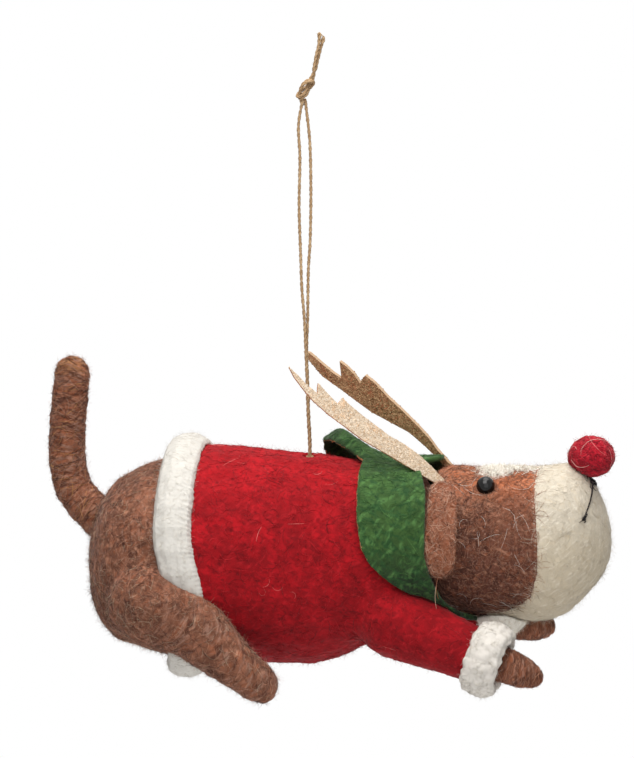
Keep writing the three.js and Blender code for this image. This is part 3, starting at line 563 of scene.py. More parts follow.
def brown_tones(long: float = 3.0) -> tuple[Tone, ...]:
    """Gives the heathered streaks of the brown wool, of a length in mm."""
    return (
        Tone(Shade.RUST.value, 0.5, long, 1.3, (0, -50, 20), 0.5, 0.2),
        Tone(Shade.TAN.value, 0.53, long * 1.1, 1.1, (0, 35, 10), 0.55, 0.2),
        Tone(Shade.DARK.value, 0.51, long * 1.2, 1.3, (20, 80, -30), 0.85, 0.2),
        Tone(Shade.GREY_TAN.value, 0.57, long * 1.3, 0.6, (0, -15, 60), 0.6, 0.14),
    )


BROWN_BODY = Felt("wool_brown", Shade.BROWN.value, brown_tones(3.4), mottle=0.5, bump=0.4)
BROWN_WRAPPED = Felt(
    "wool_brown_wrapped", Shade.BROWN.value,
    (
        Tone(Shade.RUST.value, 0.5, 4.5, 1.5, (0, 0, -24), 0.55, 0.18),
        Tone(Shade.DARK.value, 0.5, 4.5, 1.5, (0, 0, 26), 0.75, 0.18),
        Tone(Shade.GREY_TAN.value, 0.54, 4.0, 0.8, (0, 0, 32), 0.6, 0.14),
        Tone(Shade.TAN.value, 0.58, 3.6, 0.7, (0, 0, -8), 0.45, 0.14),
    ),
    wound=True, bump=0.6, mottle=0.42,
)
# Painted light: the gold wash brightens the top end of the tail as golden rim light.
TAIL_WRAPPED = Felt(
    "wool_brown_tail", Shade.BROWN.value, BROWN_WRAPPED.tones,
    washes=(Wash(Shade.GOLD.value, (0, 0, -0.0745), (0, 0, -0.0665), 0.6),), wound=True, bump=0.6,
)
# The first wash is painted shade, darkening the head towards its bottom; the second lays the rust of the
# crown's wool. The dark needle pits are painted shade.
BROWN_HEAD = Felt(
    "wool_brown_head", tint(136, 88, 68), brown_tones(2.6),
    washes=(
        Wash(tint(84, 48, 38), (0, 0, -0.099), (0, 0, -0.116), 0.75),
        Wash(tint(204, 122, 82), (0, 0, -0.103), (0, 0, -0.096), 0.75),
    ),
    pit=Shade.DARK.value, pit_size=0.12, pit_gap=2.6, mottle=0.38, bump=0.4,
)
BROWN_EAR = Felt(
    "wool_brown_ear", tint(146, 90, 66), brown_tones(2.2),
    washes=(Wash(tint(190, 148, 126), (0.0545, 0, 0), (0.0585, 0, 0), 0.5),), mottle=0.14,
)
# The first wash darkens the coat towards its bottom as painted shade, the second brightens its top as painted
# light, and the dark needle pits are painted shade.
RED_COAT = Felt(
    "felt_red", Shade.RED.value,
    (
        Tone(Shade.CRIMSON.value, 0.5, 2.6, 1.2, (0, 25, 0), 0.5, 0.2),
        Tone(Shade.SCARLET.value, 0.55, 3.0, 0.9, (15, -40, 30), 0.4, 0.16),
        Tone(tint(124, 6, 17), 0.53, 2.2, 1.1, (40, 75, -25), 0.45, 0.18),
    ),
    washes=(
        Wash(tint(112, 4, 14), (0, 0, -0.122), (0, 0, -0.142), 0.5),
        Wash(tint(176, 18, 28), (0, 0, -0.108), (0, 0, -0.097), 0.3),
    ),
    pit=tint(76, 3, 10), pit_gap=2.5, pit_size=0.14, mottle=0.36, bump=0.35, sheen=0.05,
)
# The dark needle pits of the nose are painted shade.
RED_NOSE = Felt(
    "wool_red_nose", Shade.CHERRY.value,
    (
        Tone(tint(110, 8, 24), 0.5, 2.4, 0.9, (0, 30, 0), 0.7, 0.14),
        Tone(tint(206, 70, 80), 0.6, 3.4, 0.5, (20, -35, 30), 0.5, 0.1),
    ),
    pit=tint(84, 6, 18), pit_gap=2.0, pit_size=0.13,
)
# The first wash darkens the collar towards its bottom as painted shade; the second darkens it towards the
# rear; the dark needle pits are painted shade.
GREEN_COLLAR = Felt(
    "felt_green", Shade.GREEN.value,
    (
        Tone(Shade.MOSS.value, 0.49, 3.0, 1.5, (0, 20, 0), 0.85, 0.16),
        Tone(Shade.LEAF.value, 0.47, 3.2, 1.4, (15, -50, 30), 0.6, 0.3),
        Tone(tint(36, 66, 32), 0.52, 2.2, 1.2, (30, 80, -25), 0.7, 0.16),
    ),
    washes=(
        Wash(tint(20, 34, 20), (0, 0, -0.110), (0, 0, -0.123), 0.92),
        Wash(tint(30, 52, 32), (0.017, 0, 0), (0.008, 0, 0), 0.65),
    ),
    pit=tint(20, 40, 20), pit_gap=2.1, pit_size=0.14, bump=0.4, mottle=0.34,
)
WHITE_PILE = Felt(
    "pile_white", Shade.WHITE.value,
    (
        Tone(Shade.CHALK.value, 0.54, 2.2, 0.9, (0, 50, 8), 0.3, 0.2),
        Tone(tint(186, 176, 160), 0.6, 1.8, 0.7, (0, -40, 0), 0.25, 0.14),
    ),
    sheen=0.05, mottle=0.03, depth=0.25, bump=0.35,
)
HEM_PILE = replace(WHITE_PILE, name="pile_white_hem", ground=tint(202, 199, 193))
# The wash darkens the cream wool towards the bottom of the muzzle into khaki, as painted shade.
CREAM_WOOL = Felt(
    "wool_cream", Shade.CREAM.value,
    (
        Tone(Shade.STRAW.value, 0.54, 3.4, 0.9, (0, 30, 10), 0.4, 0.16),
        Tone(tint(220, 212, 197), 0.55, 4.2, 0.8, (10, -35, 20), 0.5, 0.14),
        Tone(Shade.KHAKI.value, 0.58, 2.6, 0.7, (20, 75, -30), 0.35, 0.14),
    ),
    washes=(Wash(tint(184, 168, 138), (0, 0, -0.102), (0, 0, -0.118), 0.45),),
    sheen=0.06, mottle=0.05, depth=0.2, bump=0.12,
)
# Painted light: a lighter copy of the cream wool, on a snow-white ground and without its wash, for a throat
# that lies in shade under the head.
THROAT_WOOL_LIT = replace(CREAM_WOOL, name="wool_throat_painted_light", ground=Shade.SNOW.value, washes=())


# Modelling


def link(piece: Piece) -> None:
    """Adds an object to the scene."""
    bpy.context.scene.collection.objects.link(piece)


def only(*pieces: Piece) -> None:
    """Selects objects alone.

    Args:
        pieces: the objects, of which the first becomes the active one.
    """
    bpy.ops.object.select_all(action="DESELECT")
    for piece in pieces:
        piece.select_set(True)
    bpy.context.view_layer.objects.active = pieces[0]


@contextmanager
def editing(piece: Piece) -> Iterator[None]:
    """Opens a piece in edit mode with all of it selected.

    Args:
        piece: the piece.

    Yields:
        Nothing, while the piece is open.
    """
    only(piece)
    bpy.ops.object.mode_set(mode="EDIT")
    bpy.ops.mesh.select_all(action="SELECT")
    yield
    bpy.ops.object.mode_set(mode="OBJECT")


def apply(piece: Piece, kind: str, **settings: Any) -> None:
    """Adds a modifier and applies it.

    Args:
        piece: the piece.
        kind: the modifier's type.
        settings: its properties.
    """
    only(piece)
    modifier = piece.modifiers.new(kind.title(), kind)
    for key, value in settings.items():
        setattr(modifier, key, value)
    bpy.ops.object.modifier_apply(modifier=modifier.name)


def vectors(source: Any, key: str) -> Rows:
    """Reads a vector of each item.

    Args:
        source: the mesh's points or normals.
        key: the vector's name.

    Returns:
        The vectors as rows.
    """
    rows = np.empty(len(source) * 3, np.float32)
    source.foreach_get(key, rows)
    return rows.reshape(-1, 3).astype(float)


def places(piece: Piece) -> Rows:
    """Gives a mesh's points as rows."""
    return vectors(piece.data.vertices, "co")


def facings(piece: Piece) -> Rows:
    """Gives the normals at a mesh's points as rows."""
    return vectors(piece.data.vertex_normals, "vector")


def put(piece: Piece, rows: Rows) -> None:
    """Moves a mesh's points."""
    piece.data.vertices.foreach_set("co", rows.astype(np.float32).ravel())
    piece.data.update()


def smoothstep(values: Rows, low: float, high: float) -> Rows:
    """Rises smoothly from 0 at low to 1 at high."""
    share = np.clip((values - low) / (high - low), 0, 1)
    return share * share * (3 - 2 * share)


def mark(piece: Piece, name: str, values: Rows) -> None:
    """Keeps values for the points of a mesh, for its material.

    Args:
        piece: the piece.
        name: the attribute's name.
        values: one number or one vector for each point.
    """
    kind, key = ("FLOAT", "value") if values.ndim == 1 else ("FLOAT_VECTOR", "vector")
    made = piece.data.attributes.new(name, kind, "POINT")
    made.data.foreach_set(key, values.astype(np.float32).ravel())


def unit(rows: Rows) -> Rows:
    """Scales rows to a length of 1."""
    return rows / np.maximum(np.linalg.norm(rows, axis=-1, keepdims=True), 1e-12)


def reaches(path: Rows) -> Rows:
    """Gives how far along a path each of its points lies."""
    return np.r_[0, np.cumsum(np.linalg.norm(np.diff(path, axis=0), axis=1))]


def spaced(path: Rows, reach: Rows, at: Rows) -> Rows:
    """Gives the points of a path at other distances along it."""
    return np.stack([np.interp(at, reach, path[:, axis]) for axis in range(3)], axis=1)


def relaxed(path: Rows, rounds: int) -> Rows:
    """Eases the bends of a path.

    Args:
        path: its points.
        rounds: how often it is eased.

    Returns:
        The eased points, with the same ends.
    """
    path = path.copy()
    for _ in range(rounds):
        path[1:-1] = (path[:-2] + path[2:] + 2 * path[1:-1]) / 4
    return path


def straight(rows: Rows, _: Rows, way: Triple) -> Rows:
    """Gives one way for all points."""
    return np.tile(way, (len(rows), 1))


def climbing(rows: Rows, _: Rows, low: float, high: float, base: float = 0.0, gain: float = 1.0) -> Rows:
    """Gives a base, and as much more as the gain from a low to a high level, in mm."""
    return base + gain * smoothstep(rows[:, 2], low * MM, high * MM)


def solid_gap(node: str, rows: Rows) -> Rows:
    """Gives how far points lie from the surface of a CAD solid.

    Args:
        node: the solid's node.
        rows: the points.

    Returns:
        The distances in metres.
    """
    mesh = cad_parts[node].data
    faces = [tuple(face.vertices) for face in mesh.polygons]
    tree = BVHTree.FromPolygons([tuple(point.co) for point in mesh.vertices], faces)
    return np.array([tree.find_nearest(row)[3] for row in rows.tolist()])


def outline_depth(spots: Rows, outline: Rows) -> Rows:
    """Gives how deep flat spots lie inside a closed outline.

    Args:
        spots: the spots, in two columns.
        outline: the outline's corners, in two columns.

    Returns:
        The depths, below zero outside.
    """
    ends = np.roll(outline, -1, axis=0)
    way = ends - outline
    offset = spots[:, None] - outline[None]
    share = np.clip((offset * way).sum(axis=2) / (way**2).sum(axis=1), 0, 1)
    far = np.linalg.norm(offset - share[:, :, None] * way, axis=2).min(axis=1)
    height = spots[:, 1:]
    straddles = (outline[None, :, 1] > height) != (ends[None, :, 1] > height)
    rise = np.where(way[:, 1] == 0, 1.0, way[:, 1])
    cross = outline[:, 0] + (height - outline[:, 1]) / rise * way[:, 0]
    odd = (straddles & (spots[:, :1] < cross)).sum(axis=1) % 2
    return np.where(odd == 1, far, -far)


def mesh_piece(name: str, points: Rows, faces: list, smooth: bool = True) -> Piece:
    """Makes an object of points and faces.

    Args:
        name: its name.
        points: rows of places in metres.
        faces: lists of indices.
        smooth: whether it is shaded smooth.

    Returns:
        The object, linked to the scene.
    """
    mesh = bpy.data.meshes.new(name)
    mesh.from_pydata(points.tolist(), [], faces)
    mesh.polygons.foreach_set("use_smooth", [smooth] * len(mesh.polygons))
    mesh.update()
    piece = bpy.data.objects.new(name, mesh)
    link(piece)
    return piece


def settle(
    piece: Piece, nodes: Sequence[str] = (), body: str = DOG
) -> Piece:
    """Hands a finished piece to the frame.

    Args:
        piece: the piece.
        nodes: the CAD nodes that it stands for.
        body: the body that it rides on.

    Returns:
        The piece.
    """
    if nodes:
        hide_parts(*nodes)
    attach(piece, body)
    LOG.info("%s: %d faces", piece.name, len(piece.data.polygons))
    return piece


def redress(material: Material, *nodes: str) -> None:
    """Gives the CAD's own pieces a material."""
    for node in nodes:
        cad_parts[node].data.materials.clear()
        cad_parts[node].data.materials.append(material)


@dataclass
class Fleece:
    """A felted form and the CAD nodes that it replaces."""

    piece: Piece
    nodes: tuple[str, ...]

    @classmethod
    def of(cls, name: str, *nodes: str, swell: float = 0.0) -> Fleece:
        """Copies and joins CAD solids.

        Args:
            name: the new piece's name.
            nodes: the CAD nodes.
            swell: how far each is swelled in mm, so that touching ones merge.

        Returns:
            The form.
        """
        copies = []
        for node in nodes:
            copy = bpy.data.objects.new(f"{name}.{node}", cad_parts[node].data.copy())
            copy.data.materials.clear()
            link(copy)
            with editing(copy):
                bpy.ops.mesh.remove_doubles(threshold=1e-6)
            if swell:
                put(copy, places(copy) + facings(copy) * swell * MM)
            copies.append(copy)
        only(*copies)
        if len(copies) > 1:
            bpy.ops.object.join()
        piece = bpy.context.view_layer.objects.active
        piece.name = piece.data.name = name
        return cls(piece, nodes)

    def remesh(self, voxel: float, rounds: int = 0) -> Fleece:
        """Rebuilds the surface in even faces.

        Args:
            voxel: the faces' size in mm.
            rounds: how often the surface is smoothed.

        Returns:
            The form.
        """
        apply(self.piece, "REMESH", mode="VOXEL", voxel_size=voxel * MM, use_smooth_shade=True)
        if rounds:
            apply(self.piece, "SMOOTH", factor=0.5, iterations=rounds)
        return self

    def lumps(self, *relief: Pair, kind: str = "CLOUDS") -> Fleece:
        """Raises lumps along the normals.

        Args:
            relief: the size and the height of each kind of lump, in mm.
            kind: the type of their texture.

        Returns:
            The form.
        """
        for size, height in relief:
            texture = bpy.data.textures.new(f"{self.piece.name}_{size}", kind)
            texture.noise_scale = size * MM
            if kind == "CLOUDS":
                texture.noise_depth = 2
            apply(
                self.piece, "DISPLACE", texture=texture, texture_coords="LOCAL", strength=2 * height * MM,
                mid_level=0.5,
            )
        return self

    def melt(self, first: str, second: str, reach: float, rounds: int) -> Fleece:
        """Smooths the crease between two of the solids.

        Args:
            first: the first solid's node.
            second: the second solid's node.
            reach: how far from both it reaches, in mm.
            rounds: how often it is smoothed.

        Returns:
            The form.
        """
        levels = 8
        rows = places(self.piece)
        gap = np.maximum(solid_gap(first, rows), solid_gap(second, rows)) / (reach * MM)
        weight = np.ceil(smoothstep(gap, 1.0, 0.5) * levels) / levels
        group = self.piece.vertex_groups.new(name=f"{first}.{second}")
        for level in np.unique(weight[weight > 0]):
            group.add(np.flatnonzero(weight == level).tolist(), float(level), "REPLACE")
        apply(self.piece, "SMOOTH", factor=0.5, iterations=rounds, vertex_group=group.name)
        self.piece.vertex_groups.clear()
        return self

    def cut(self, name: str, node: str, cuts: Sequence[tuple[Piece, str]]) -> Fleece:
        """Copies the form and cuts the copy.

        Args:
            name: the copy's name.
            node: the CAD node that it replaces.
            cuts: the cutting solids, each with the way of the cut.

        Returns:
            The cut copy.
        """
        piece = bpy.data.objects.new(name, self.piece.data.copy())
        piece.data.name = name
        link(piece)
        for cutter, operation in cuts:
            apply(piece, "BOOLEAN", object=cutter, operation=operation, solver="EXACT")
        return Fleece(piece, (node,))

    def push(self, amount: Rule) -> Fleece:
        """Moves each point along its normal.

        Args:
            amount: gives how far in mm, from the points and their normals.

        Returns:
            The form.
        """
        rows, normals = places(self.piece), facings(self.piece)
        put(self.piece, rows + normals * (amount(rows, normals) * MM)[:, None])
        return self

    def shrink(self, amount: float) -> Fleece:
        """Shrinks the form by an amount in mm."""
        put(self.piece, places(self.piece) + facings(self.piece) * (-amount * MM))
        return self

    def finish(self, material: Material) -> Piece:
        """Gives the piece its material and smooth shading.

        Args:
            material: the material.

        Returns:
            The piece.
        """
        self.piece.data.materials.clear()
        self.piece.data.materials.append(material)
        self.piece.data.polygons.foreach_set("use_smooth", [True] * len(self.piece.data.polygons))
        return self.piece

    def stuffed(self, material: Material, slot: str) -> Piece:
        """Finishes the form and hands it to the frame in place of its CAD nodes."""
        return settle(self.finish(material), self.nodes)


@dataclass
class Winding:
    """The centrelines of wrapped limbs, and the wraps round them."""

    lines: Sequence[Sequence[Triple]]
    tilt: float = 0.35
    steps: int = 90
    spine: list[tuple[Rows, Rows, Rows]] = field(default_factory=list)

    def __post_init__(self) -> None:
        """Makes each line even in steps, with its lengths and directions."""
        for line in self.lines:
            points = np.array(line) * MM
            reach = reaches(points)
            at = np.linspace(0, reach[-1], self.steps)
            even = relaxed(spaced(points, reach, at), 6)
            self.spine.append((even, unit(np.gradient(even, axis=0)), at))

    def about(self, rows: Rows) -> tuple[Rows, Rows, Rows, Rows]:
        """Finds where points lie on the nearest limb.

        Args:
            rows: the points.

        Returns:
            The wound coordinates in metres, the distance from the line, the limb's direction and the
            distance along it.
        """
        best = np.full(len(rows), np.inf)
        wound = np.zeros((len(rows), 3))
        way, length = np.zeros((len(rows), 3)), np.zeros(len(rows))
        for even, ways, at in self.spine:
            gaps = ((rows[:, None, :] - even[None]) ** 2).sum(axis=2)
            near = gaps.argmin(axis=1)
            far = np.sqrt(gaps.min(axis=1))
            offset, ahead = rows - even[near], ways[near]
            along = at[near] + (offset * ahead).sum(axis=1)
            side = unit(np.array([0.0, 1.0, 0.0]) - ahead * ahead[:, 1:2])
            over = np.cross(ahead, side)
            first, second = (offset * side).sum(axis=1), (offset * over).sum(axis=1)
            found = np.stack([along + self.tilt * first, first, second], axis=1)
            use = far < best
            wound[use], way[use], length[use], best[use] = found[use], ahead[use], along[use], far[use]
        return wound, best, way, length

    def wraps(self, rows: Rows, _: Rows, height: float, gap: float, seed: float) -> Rows:
        """Gives the height in mm of wraps of a height and a gap in mm."""
        return height * ridges(self.about(rows)[0], gap, seed)

    def around(self, rows: Rows, normals: Rows, lean: float) -> Rows:
        """Gives the way round the limb, which leans along it."""
        way = self.about(rows)[2]
        return np.cross(way, normals) + way * lean

    def wrap(self, fleece: Fleece, felt: Felt, lump: Pair, **wraps: float) -> Piece:
        """Winds wool round a form and hands it to the frame.

        Args:
            fleece: the form.
            felt: its finish.
            lump: the size and the height of its lumps in mm.
            wraps: the height, the gap and the seed of its wraps.

        Returns:
            The piece.
        """
        fleece.push(partial(self.wraps, **wraps)).lumps(lump)
        mark(fleece.piece, "wind", self.about(places(fleece.piece))[0])
        return fleece.stuffed(felt.make(), "brown_wool")


def ridges(wound: Rows, gap: float, seed: float = 0.0) -> Rows:
    """Gives the height of uneven wraps.

    Args:
        wound: the wound coordinates.
        gap: the gap between wraps in mm.
        seed: shifts the pattern.

    Returns:
        The heights, from -1 to 1.
    """
    across, first, second = (wound / MM).T
    drift = np.sin(first * 0.9 + seed) + np.cos(second * 0.8 - across * 0.35 + seed) * 1.1
    wave = np.sin(2 * math.pi * across / gap + drift * 0.8)
    other = np.sin(2 * math.pi * (across * 0.63 - first * 0.25) / gap + seed * 3)
    return 0.7 * (1 - 2 * np.abs(wave) ** 0.7) * -1 + 0.3 * other


# Tubes and fibres


def rings(path: Rows, up: Rows, radii: Rows, sides: int) -> Rows:
    """Makes rings of points round paths.

    Args:
        path: the points of one path, or of one path in each row.
        up: a direction across each point's path.
        radii: a radius for each point, and for each point's sides.
        sides: how many points a ring has.

    Returns:
        The rings' points.
    """
    ways = unit(np.gradient(path, axis=-2))
    across = unit(np.cross(ways, up))
    rise = np.cross(across, ways)
    angles = np.arange(sides) * 2 * math.pi / sides
    spread = across[..., None, :] * np.cos(angles)[:, None] + rise[..., None, :] * np.sin(angles)[:, None]
    return path[..., None, :] + spread * radii[..., None]


def walls(joints: int, sides: int) -> list[list[int]]:
    """Gives the faces between a tube's rings.

    Args:
        joints: how many rings it has.
        sides: how many points a ring has.

    Returns:
        The faces, as lists of indices.
    """
    faces = []
    for low in range(0, (joints - 1) * sides, sides):
        for side in range(sides):
            after = (side + 1) % sides
            faces.append([low + side, low + after, low + sides + after, low + sides + side])
    return faces


@dataclass(frozen=True)
class Crop:
    """How a patch of loose fibres grows, in mm and radians."""

    count: int
    long: Pair = (2.5, 6.0)
    thick: Pair = (0.05, 0.09)
    lift: float = 0.08
    ends: float = 0.5
    curl: float = 1.4
    seed: int = 1
    joints: int = 5


class Strewer:
    """Strews fibres over felted skins as thin closed tubes."""

    RING: ClassVar[int] = 3
    STRAY: ClassVar[float] = 0.22
    LONGEST_END: ClassVar[float] = 2.2
    TAPER: ClassVar[float] = 0.62

    def __init__(self, skin: Piece) -> None:
        """Reads a skin's triangles.

        Args:
            skin: the piece that carries the fibres.
        """
        mesh = skin.data
        mesh.calc_loop_triangles()
        self.corners = np.empty(len(mesh.loop_triangles) * 3, np.int32)
        mesh.loop_triangles.foreach_get("vertices", self.corners)
        self.corners = self.corners.reshape(-1, 3)
        self.points = places(skin)
        self.tree = BVHTree.FromPolygons(self.points.tolist(), self.corners.tolist())
        a, b, c = (self.points[self.corners[:, index]] for index in range(3))
        cross = np.cross(b - a, c - a)
        self.areas = np.linalg.norm(cross, axis=1)
        self.normals = unit(cross)
        self.centres = (a + b + c) / 3

    def roots(self, crop: Crop, rng: np.random.Generator, ground: Optional[Rule]) -> tuple:
        """Picks where fibres start.

        Args:
            crop: how they grow.
            rng: the random source.
            ground: how thickly they grow from place to place.

        Returns:
            The places and their normals.
        """
        weight = self.areas.copy()
        if ground is not None:
            weight = weight * np.clip(ground(self.centres, self.normals), 0, None)
        picked = rng.choice(len(weight), crop.count, p=weight / weight.sum())
        shares = rng.random((crop.count, 2))
        over = shares.sum(axis=1) > 1
        shares[over] = 1 - shares[over]
        a, b, c = (self.points[self.corners[picked, index]] for index in range(3))
        roots = a + (b - a) * shares[:, :1] + (c - a) * shares[:, 1:]
        return roots, self.normals[picked]

    def lay(self, crop: Crop, ground: Optional[Rule] = None, flow: Optional[Rule] = None) -> tuple:
        """Lays a crop's fibres along the skin.

        Args:
            crop: how they grow.
            ground: how thickly they grow from place to place.
            flow: the direction that they follow, or any direction.

        Returns:
            Their points, normals and radii, each fibre a row.
        """
        rng = np.random.default_rng(crop.seed)
        at, normal = self.roots(crop, rng, ground)
        heading = rng.normal(size=(crop.count, 3))
        if flow is not None:
            heading = flow(at, normal) + heading * self.STRAY
        length = rng.uniform(*crop.long, crop.count) * MM
        bend = rng.normal(0, crop.curl, crop.count)
        steps = crop.joints - 1
        paths, ups = [at], [normal]
        heading = unit(heading - normal * (heading * normal).sum(axis=1, keepdims=True))
        for _ in range(steps):
            turn = (bend / steps)[:, None]
            heading = unit(heading * np.cos(turn) + np.cross(normal, heading) * np.sin(turn))
            ahead = at + heading * (length / steps)[:, None]
            found = [self.tree.find_nearest(point) for point in ahead.tolist()]
            at = np.array([hit[0] for hit in found])
            normal = np.array([hit[1] for hit in found])
            heading = unit(heading - normal * (heading * normal).sum(axis=1, keepdims=True))
            paths.append(at)
            ups.append(normal)
        path, up = np.stack(paths, axis=1), np.stack(ups, axis=1)
        share = np.linspace(-1, 1, crop.joints)
        ends = np.minimum(rng.exponential(crop.ends, (crop.count, 2)), crop.ends * self.LONGEST_END) * MM
        rise = np.where(share < 0, ends[:, :1], ends[:, 1:]) * np.abs(share) ** 2.2
        path = path + up * (rise + crop.lift * MM * rng.uniform(0.3, 1.0, (crop.count, 1)))[:, :, None]
        thick = rng.uniform(*crop.thick, crop.count) * MM / 2
        radii = thick[:, None] * (1 - self.TAPER * np.abs(share) ** 2)
        return path, up, radii

    def strew(self, name: str, slot: str, colours: Palette, seed: int, *crops: tuple) -> None:
        """Lays crops, each given as what lay takes, and hands them to the frame as one piece."""
        settle(self.piece(name, [self.lay(*crop) for crop in crops], colours, seed))

    @classmethod
    def piece(cls, name: str, laid: Sequence[tuple], colours: Palette, seed: int) -> Piece:
        """Joins laid fibres in one object.

        Args:
            name: its name.
            laid: what lay gave, any number of times.
            colours: the colours of the fibres, with how common each is.
            seed: the seed for the choice among them.

        Returns:
            The object.
        """
        rng = np.random.default_rng(seed)
        weights = np.array(list(colours.values())) / sum(colours.values())
        points, faces, indices, start = [], [], [], 0
        for path, up, radii in laid:
            tubes = rings(path, up, radii[..., None], cls.RING).reshape(len(path), -1, 3)
            quads = np.array(walls(path.shape[1], cls.RING))
            count, size = tubes.shape[:2]
            firsts = start + np.arange(count) * size
            faces.extend((firsts[:, None, None] + quads[None]).reshape(-1, 4).tolist())
            caps = np.array([list(range(cls.RING))[::-1], list(range(size - cls.RING, size))])
            faces.extend((firsts[:, None, None] + caps[None]).reshape(-1, cls.RING).tolist())
            chosen = rng.choice(len(colours), count, p=weights)
            indices.append(np.repeat(chosen, len(quads)))
            indices.append(np.repeat(chosen, 2))
            points.append(tubes.reshape(-1, 3))
            start += count * size
        made = mesh_piece(name, np.concatenate(points), faces)
        for number, colour in enumerate(colours):
            finish = Plain(f"{name}_{number}", colour, 0.85, sheen=0.05, specular=0.15)
            made.data.materials.append(finish.make())
        made.data.polygons.foreach_set("material_index", np.concatenate(indices).astype(np.int32))
        return made


# Camera, light and floor


@dataclass(frozen=True)
class Lamp:
    """A square lamp: its place and side in metres, and its power in watts."""

    name: str
    place: Triple
    side: float
    power: float
    colour: Triple = (1, 1, 1)


@dataclass
class Studio:
    """The camera at the photograph's angle, soft lamps, a white world and a pale floor."""

    right: Triple = (0.98769, 0.15643, 0.0)
    up: Triple = (-0.02447, 0.15451, 0.98769)
    back: Triple = (0.15451, -0.97553, 0.15643)
    middle: Pixel = (317.0, 379.0)
    sewn_pixel: Pixel = (310.0, 453.5)
    pixel: float = 0.26 * MM
    distance: float = 4.0
    tall: float = 758.0
    sensor: float = 36.0
    ambient: float = 0.24
    floor_height: float = -0.30
    floor_radius: float = 0.45
    aim: Triple = (0.0, 0.0, -0.11)
    lamps: tuple[Lamp, ...] = (
        Lamp("lamp_key", (0.0, -0.38, 0.46), 0.5, 4.9, (1.0, 0.985, 0.96)),
        Lamp("lamp_top", (0.05, 0.1, 0.54), 0.5, 3.4, (1.0, 0.985, 0.96)),
        Lamp("lamp_front", (0.25, -0.75, 0.02), 0.7, 1.7),
    )

    def at(self, across: float, down: float) -> Vector:
        """Gives the place of a pixel on the plane through the sewn point.

        Args:
            across: the pixel's column.
            down: the pixel's row.

        Returns:
            The place.
        """
        aside = (across - self.sewn_pixel[0]) * self.pixel
        above = (self.sewn_pixel[1] - down) * self.pixel
        return SEWN_POINT + Vector(self.right) * aside + Vector(self.up) * above

    @property
    def eye(self) -> Vector:
        """Gives the camera's place."""
        return self.at(*self.middle) + Vector(self.back) * self.distance

    def cast(self, tree: BVHTree, across: float, down: float) -> tuple[Vector, Vector]:
        """Finds the surface under a pixel.

        Args:
            tree: the surface.
            across: the pixel's column.
            down: the pixel's row.

        Returns:
            The place and its normal.
        """
        way = (self.at(across, down) - self.eye).normalized()
        spot, normal, _, _ = tree.ray_cast(self.eye, way)
        if spot is None:
            spot, normal, _, _ = tree.find_nearest(self.at(across, down))
        return spot, normal

    def camera(self) -> None:
        """Makes the camera."""
        data = bpy.data.cameras.new("camera")
        data.sensor_width = self.sensor
        data.lens = self.sensor * self.distance / (self.tall * self.pixel)
        data.clip_start, data.clip_end = 0.1, 20.0
        camera = bpy.data.objects.new("camera", data)
        frame = Matrix((self.right, self.up, self.back)).transposed().to_4x4()
        camera.matrix_world = Matrix.Translation(self.eye) @ frame
        link(camera)
        bpy.context.scene.camera = camera

    def lamp(self, lamp: Lamp) -> None:
        """Hangs a lamp that looks at the dog.

        Args:
            lamp: the lamp.
        """
        data = bpy.data.lights.new(lamp.name, "AREA")
        data.shape, data.size, data.energy, data.color = "SQUARE", lamp.side, lamp.power, lamp.colour
        made = bpy.data.objects.new(lamp.name, data)
        made.rotation_mode = "QUATERNION"
        made.rotation_quaternion = (Vector(self.aim) - Vector(lamp.place)).to_track_quat("-Z", "Y")
        made.location = lamp.place
        link(made)

    def world(self) -> None:
        """Makes a world that is white to look at and lights softly."""
        world = bpy.data.worlds.new("studio")
        bpy.context.scene.world = world
        bench = NodeBench(world)
        seen = bench.node("ShaderNodeLightPath", output="Is Camera Ray")
        rays = seen.socket.node.outputs
        for output in ("Is Glossy Ray", "Is Transmission Ray"):
            sockets = {0: seen, 1: Signal(bench, rays[output])}
            seen = bench.node("ShaderNodeMath", {"operation": "MAXIMUM"}, sockets)
        soft = bench.node("ShaderNodeBackground", {}, {0: (1.0, 0.99, 0.975, 1.0), 1: self.ambient})
        white = bench.node("ShaderNodeBackground", {}, {0: (1.0,) * 4, 1: 1.0})
        both = bench.node("ShaderNodeMixShader", {}, {0: seen, 1: soft, 2: white})
        bench.end(both, "ShaderNodeOutputWorld")

    def floor(self) -> None:
        """Makes a round pale floor that fades to white at its rim and keeps the shadow."""
        bpy.ops.object.select_all(action="DESELECT")
        bpy.ops.mesh.primitive_circle_add(
            vertices=128, radius=self.floor_radius, fill_type="NGON", location=(0, 0, self.floor_height)
        )
        floor = bpy.context.active_object
        floor.name = "floor"
        bpy.ops.object.transform_apply(location=True)
        bench = NodeBench("floor_pale")
        place = bench.place()
        flat = bench.vector("MULTIPLY", place, (1.0, 1.0, 0.0))
        reach = bench.vector("LENGTH", flat, (0.0,) * 3, 1)
        fade = reach.above(self.floor_radius * 0.45, self.floor_radius * 0.97)
        speck = bench.noise(place, 1 / (3 * MM), 2.0)
        colour = bench.laid(speck * 0.5, (0.9, 0.9, 0.9, 1.0), (0.86, 0.86, 0.86, 1.0))
        matt = bench.node("ShaderNodeBsdfDiffuse", {}, {0: colour})
        white = bench.node("ShaderNodeEmission", {}, {0: (1.0, 1.0, 1.0, 1.0), 1: 1.0})
        bench.end(bench.node("ShaderNodeMixShader", {}, {0: fade, 1: matt, 2: white}))
        floor.data.materials.append(bench.owner)

    def build(self) -> None:
        """Makes the whole studio."""
        bpy.context.scene.view_settings.view_transform = "Standard"
        self.camera()
        self.world()
        self.floor()
        for lamp in self.lamps:
            self.lamp(lamp)


# The twine


